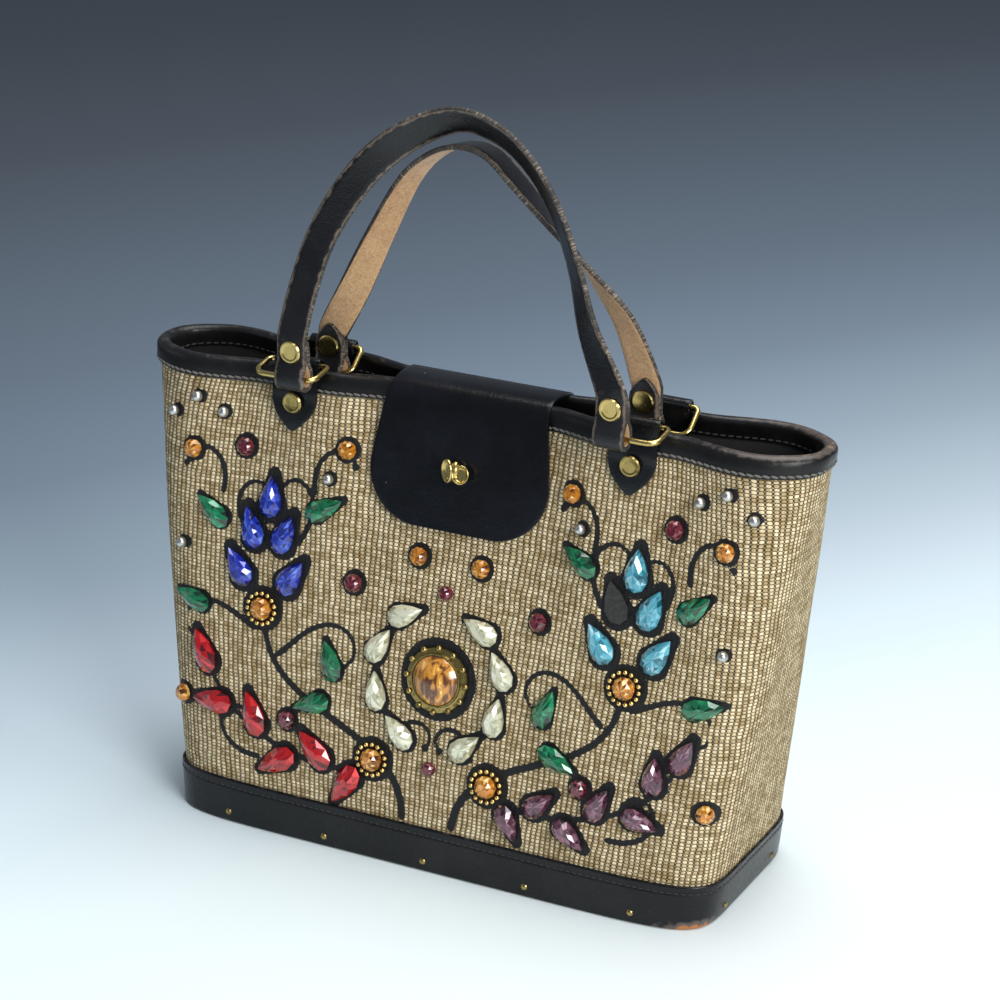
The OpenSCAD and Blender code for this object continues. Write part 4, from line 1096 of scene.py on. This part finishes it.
def gem(name, deep, body, bright, glint_share=0.5):
    finish, tree, shader = new_finish(name)
    local = node(tree, "ShaderNodeUVMap", uv_map="stone").outputs["UV"]
    part = node(tree, "ShaderNodeSeparateXYZ", {"Vector": local})
    tone = on_attribute(tree, "tone")
    facet = on_attribute(tree, "facet")
    angle = calc(tree, "ARCTAN2", part.outputs["X"], calc(tree, "ADD", part.outputs["Y"], 0.06))
    sector = calc(tree, "FLOOR", calc(tree, "MULTIPLY", angle, 2.55))
    seed = node(tree, "ShaderNodeCombineXYZ", {
        "X": sector, "Y": calc(tree, "FLOOR", calc(tree, "MULTIPLY", tone, 97.0)),
        "Z": calc(tree, "FLOOR", calc(tree, "MULTIPLY", facet, 3.0)),
    })
    facet_flash = node(tree, "ShaderNodeTexWhiteNoise", {"Vector": seed.outputs["Vector"]},
                      noise_dimensions="3D").outputs["Value"]
    # Each facet's colour, from deep through body to bright, is painted reflection: it stands in for the foil
    # behind that facet flashing or going dark.
    level = calc(tree, "ADD", calc(tree, "MULTIPLY", facet, 0.45), calc(tree, "MULTIPLY", facet_flash, 0.55))
    colour = tint(tree, fade(tree, level, 0.15, 0.6), deep, body)
    colour = tint(tree, fade(tree, level, 0.62, 0.9, 0.0, glint_share), colour, bright)
    tree.links.new(colour, shader.inputs["Base Color"])
    shader.inputs["Metallic"].default_value = 0.25
    shader.inputs["Roughness"].default_value = 0.12
    shader.inputs["IOR"].default_value = 1.5
    shader.inputs["Coat Weight"].default_value = 1.0
    shader.inputs["Coat Roughness"].default_value = 0.02
    shader.inputs["Coat IOR"].default_value = 1.55
    return finish


drop_template = cut_stone("drop_template", drop_outline(12, 1.0), 0.34, [(0.80, 0.72), (0.50, 1.0)])
leaf_template = cut_stone("leaf_template", drop_outline(10, 0.8), 0.32, [(0.72, 0.72), (0.30, 1.0)])
round_outline = [(0.5 * math.cos(a), 0.5 * math.sin(a)) for a in np.arange(10) * math.pi / 5]
berry_template = cut_stone("berry_template", round_outline, 0.36, [(0.82, 0.74), (0.5, 1.0)])
DROP_LIFT, PLUME_LIFT = 0.75, 0.95
# Deep, body and bright colour of each stone: the deep and bright ends are painted dark and flashing facets.
GEMS = {
    "sapphire_drops": ((0.002, 0.004, 0.06), (0.012, 0.03, 0.42), (0.16, 0.32, 0.95), drop_template),
    "aqua_drops": ((0.01, 0.10, 0.15), (0.09, 0.40, 0.52), (0.62, 0.90, 0.96), drop_template),
    "crystal_drops": ((0.34, 0.33, 0.20), (0.76, 0.75, 0.56), (1.0, 1.0, 0.92), drop_template),
    "ruby_drops": ((0.08, 0.0008, 0.002), (0.46, 0.002, 0.005), (0.90, 0.045, 0.045), leaf_template),
    "amethyst_drops": ((0.022, 0.004, 0.012), (0.125, 0.036, 0.07), (0.48, 0.27, 0.34), drop_template),
    "emerald_leaves": ((0.0003, 0.014, 0.006), (0.0008, 0.15, 0.055), (0.02, 0.46, 0.21), leaf_template),
}
for group, (deep, body, bright, template) in GEMS.items():
    slot_name = group.split("_")[0]
    lift = PLUME_LIFT if group in ("sapphire_drops", "aqua_drops") else DROP_LIFT
    finish = gem(slot_name + "_glass", deep, body, bright)
    stones = setting("set_" + group, stone_places[group], template, finish, lift)
    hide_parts(group)
    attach(stones, "bag")
amber = gem("amber_glass", (0.10, 0.022, 0.001), (0.62, 0.22, 0.012), (1.0, 0.72, 0.22), 0.8)
garnet = gem("garnet_glass", (0.02, 0.001, 0.004), (0.14, 0.008, 0.022), (0.5, 0.13, 0.17))
BERRY_D, BERRY_H, CENTRE_D, CENTRE_H, CENTRE_LIFT = 9.0, 4.2, 11.0, 5.4, 0.9


def both_sides(spots, wide, deep):
    return [(s * x, z, 0, wide, wide, deep) for s in (-1, 1) for x, z in spots]


middle_garnets = [(0, z, 0, BERRY_D * 0.8, BERRY_D * 0.8, 3.8) for z in (132, 50)]
berries = {
    "amber_centres": (both_sides(BEAD_SPOTS, CENTRE_D, CENTRE_H), amber, "amber", CENTRE_LIFT),
    "amber_rounds": (both_sides(AMBERS, BERRY_D, BERRY_H), amber, "amber", DROP_LIFT),
    "garnet_rounds": (both_sides(GARNETS, BERRY_D, BERRY_H) + middle_garnets, garnet, "garnet", DROP_LIFT),
}
for group, (places, finish, slot_name, lift) in berries.items():
    stones = setting("set_" + group, places, berry_template, finish, lift)
    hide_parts(group)
    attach(stones, "bag")
for template in (drop_template, leaf_template, berry_template):
    bpy.data.objects.remove(template)


# Beads, medallion and the seat of the lost stone
# Gilt and silvered beads glued on, a domed amber stone in a cast bezel, and the dark glue that is
# left where one drop has come off.
gilt = metal("gilt_beads", (0.88, 0.62, 0.22), (0.40, 0.25, 0.07), 0.16, 0.05)
silver = metal("silver_beads", (0.62, 0.62, 0.60), (0.25, 0.25, 0.24), 0.3, 0.08)
dress("gold_bead_rings", gilt)
dress("silver_beads", silver)
dress("medallion_bezel", old_brass)
tiger, tree, shader = new_finish("amber_dome")
place = on_object(tree)
flame = drawn_out(tree, place, (260.0, 260.0, 80.0), 5.0, 1.2)
colour = tint(tree, fade(tree, flame, 0.36, 0.56), (0.10, 0.028, 0.004), (0.62, 0.26, 0.03))
colour = tint(tree, fade(tree, flame, 0.58, 0.7), colour, (1.0, 0.72, 0.18))
tree.links.new(colour, shader.inputs["Base Color"])
shader.inputs["Roughness"].default_value = 0.25
shader.inputs["Coat Weight"].default_value = 1.0
shader.inputs["Coat Roughness"].default_value = 0.02
dress("medallion_stone", tiger)
glue, tree, shader = new_finish("dark_glue")
place = on_object(tree)
lumps = speckle(tree, place, 500.0, 4.0)
tree.links.new(tint(tree, lumps, (0.006, 0.006, 0.007), (0.05, 0.046, 0.042)), shader.inputs["Base Color"])
shader.inputs["Roughness"].default_value = 0.45
relief(tree, shader, lumps, 0.0006)
dress("lost_stone_seat", glue)


# Studio
# A pale paper floor whose colour darkens to grey-blue towards the back and the left, which is painted shade
# for the light falling off, a soft light above, a key light at the right and a weak fill at the left, and a
# camera at the height and angle of the photograph.
FLOOR_HALF = 9000.0
floor_finish, tree, shader = new_finish("paper_floor")
place = on_object(tree)
# The ramp darkens the floor away from the front and towards the left: painted shade standing in for light
# falloff.
away = node(tree, "ShaderNodeVectorMath", {0: place, 1: (-0.986, 0.622, 0.0)},
            operation="DOT_PRODUCT").outputs["Value"]
falloff_share = node(tree, "ShaderNodeMapRange", {"Value": away, "From Min": -0.2, "From Max": 1.9})
falloff_shade = node(tree, "ShaderNodeValToRGB", {"Fac": falloff_share.outputs["Result"]})
stops = falloff_shade.color_ramp.elements
stops[0].position, stops[0].color = 0.0, (0.78, 0.85, 0.86, 1)
stops[1].position, stops[1].color = 1.0, (0.068, 0.083, 0.105, 1)
between_stops = [
    (0.1, (0.74, 0.84, 0.86)), (0.163, (0.64, 0.75, 0.81)), (0.227, (0.47, 0.56, 0.63)),
    (0.3, (0.31, 0.39, 0.46)), (0.389, (0.19, 0.25, 0.32)), (0.495, (0.134, 0.179, 0.231)),
    (0.78, (0.08, 0.102, 0.131)),
]
for position, colour in between_stops:
    stops.new(position).color = (*colour, 1)
tree.links.new(falloff_shade.outputs["Color"], shader.inputs["Base Color"])
shader.inputs["Roughness"].default_value = 0.75
floor_corners = [(x * FLOOR_HALF, y * FLOOR_HALF, 0) for x, y in ((-1, -1), (1, -1), (1, 1), (-1, 1))]
floor = mesh_piece("floor", floor_corners, [[0, 1, 2, 3]], [floor_finish])

world = bpy.data.worlds.new("studio")
bpy.context.scene.world = world
world.use_nodes = True
sky = world.node_tree.nodes["Background"].inputs
sky["Color"].default_value = (0.62, 0.70, 0.82, 1)
sky["Strength"].default_value = 0.3


def soft_light(name, spot, aim, size, power, colour=(1, 1, 1)):
    lamp = bpy.data.lights.new(name, "AREA")
    lamp.shape, lamp.size, lamp.size_y = "RECTANGLE", size[0], size[1]
    lamp.energy, lamp.color = power, colour
    light = bpy.data.objects.new(name, lamp)
    light.location = spot
    light.rotation_mode = "QUATERNION"
    light.rotation_quaternion = (Vector(aim) - Vector(spot)).to_track_quat("-Z", "Y")
    bpy.context.scene.collection.objects.link(light)


soft_light("overhead", (0.2, 0.2, 1.7), (0, 0, 0.1), (1.5, 1.1), 26.0)
soft_light("key", (1.6, -1.15, 1.1), (0, 0, 0.12), (0.9, 0.9), 37.0, (1.0, 0.985, 0.955))
soft_light("left_fill", (-1.6, -0.5, 0.9), (0, 0, 0.12), (0.8, 0.8), 1.0)

camera_data = bpy.data.cameras.new("camera")
camera_data.lens, camera_data.sensor_width = 114.26, 36.0
camera = bpy.data.objects.new("camera", camera_data)
bpy.context.scene.collection.objects.link(camera)
camera_spot = Vector((0.6242, -1.2179, 0.6949))
right = Vector((0.8927, 0.4506, 0.0))
up_way = Vector((-0.1623, 0.3216, 0.933))
back = Vector((0.4204, -0.8329, 0.3602))
camera_roll = math.radians(0.81)
level_x = right * math.cos(camera_roll) + up_way * math.sin(camera_roll)
level_y = up_way * math.cos(camera_roll) - right * math.sin(camera_roll)
camera.matrix_world = Matrix((
    (level_x.x, level_y.x, back.x, camera_spot.x), (level_x.y, level_y.y, back.y, camera_spot.y),
    (level_x.z, level_y.z, back.z, camera_spot.z), (0, 0, 0, 1),
))
bpy.context.scene.camera = camera
bpy.context.scene.view_settings.view_transform = "Standard"
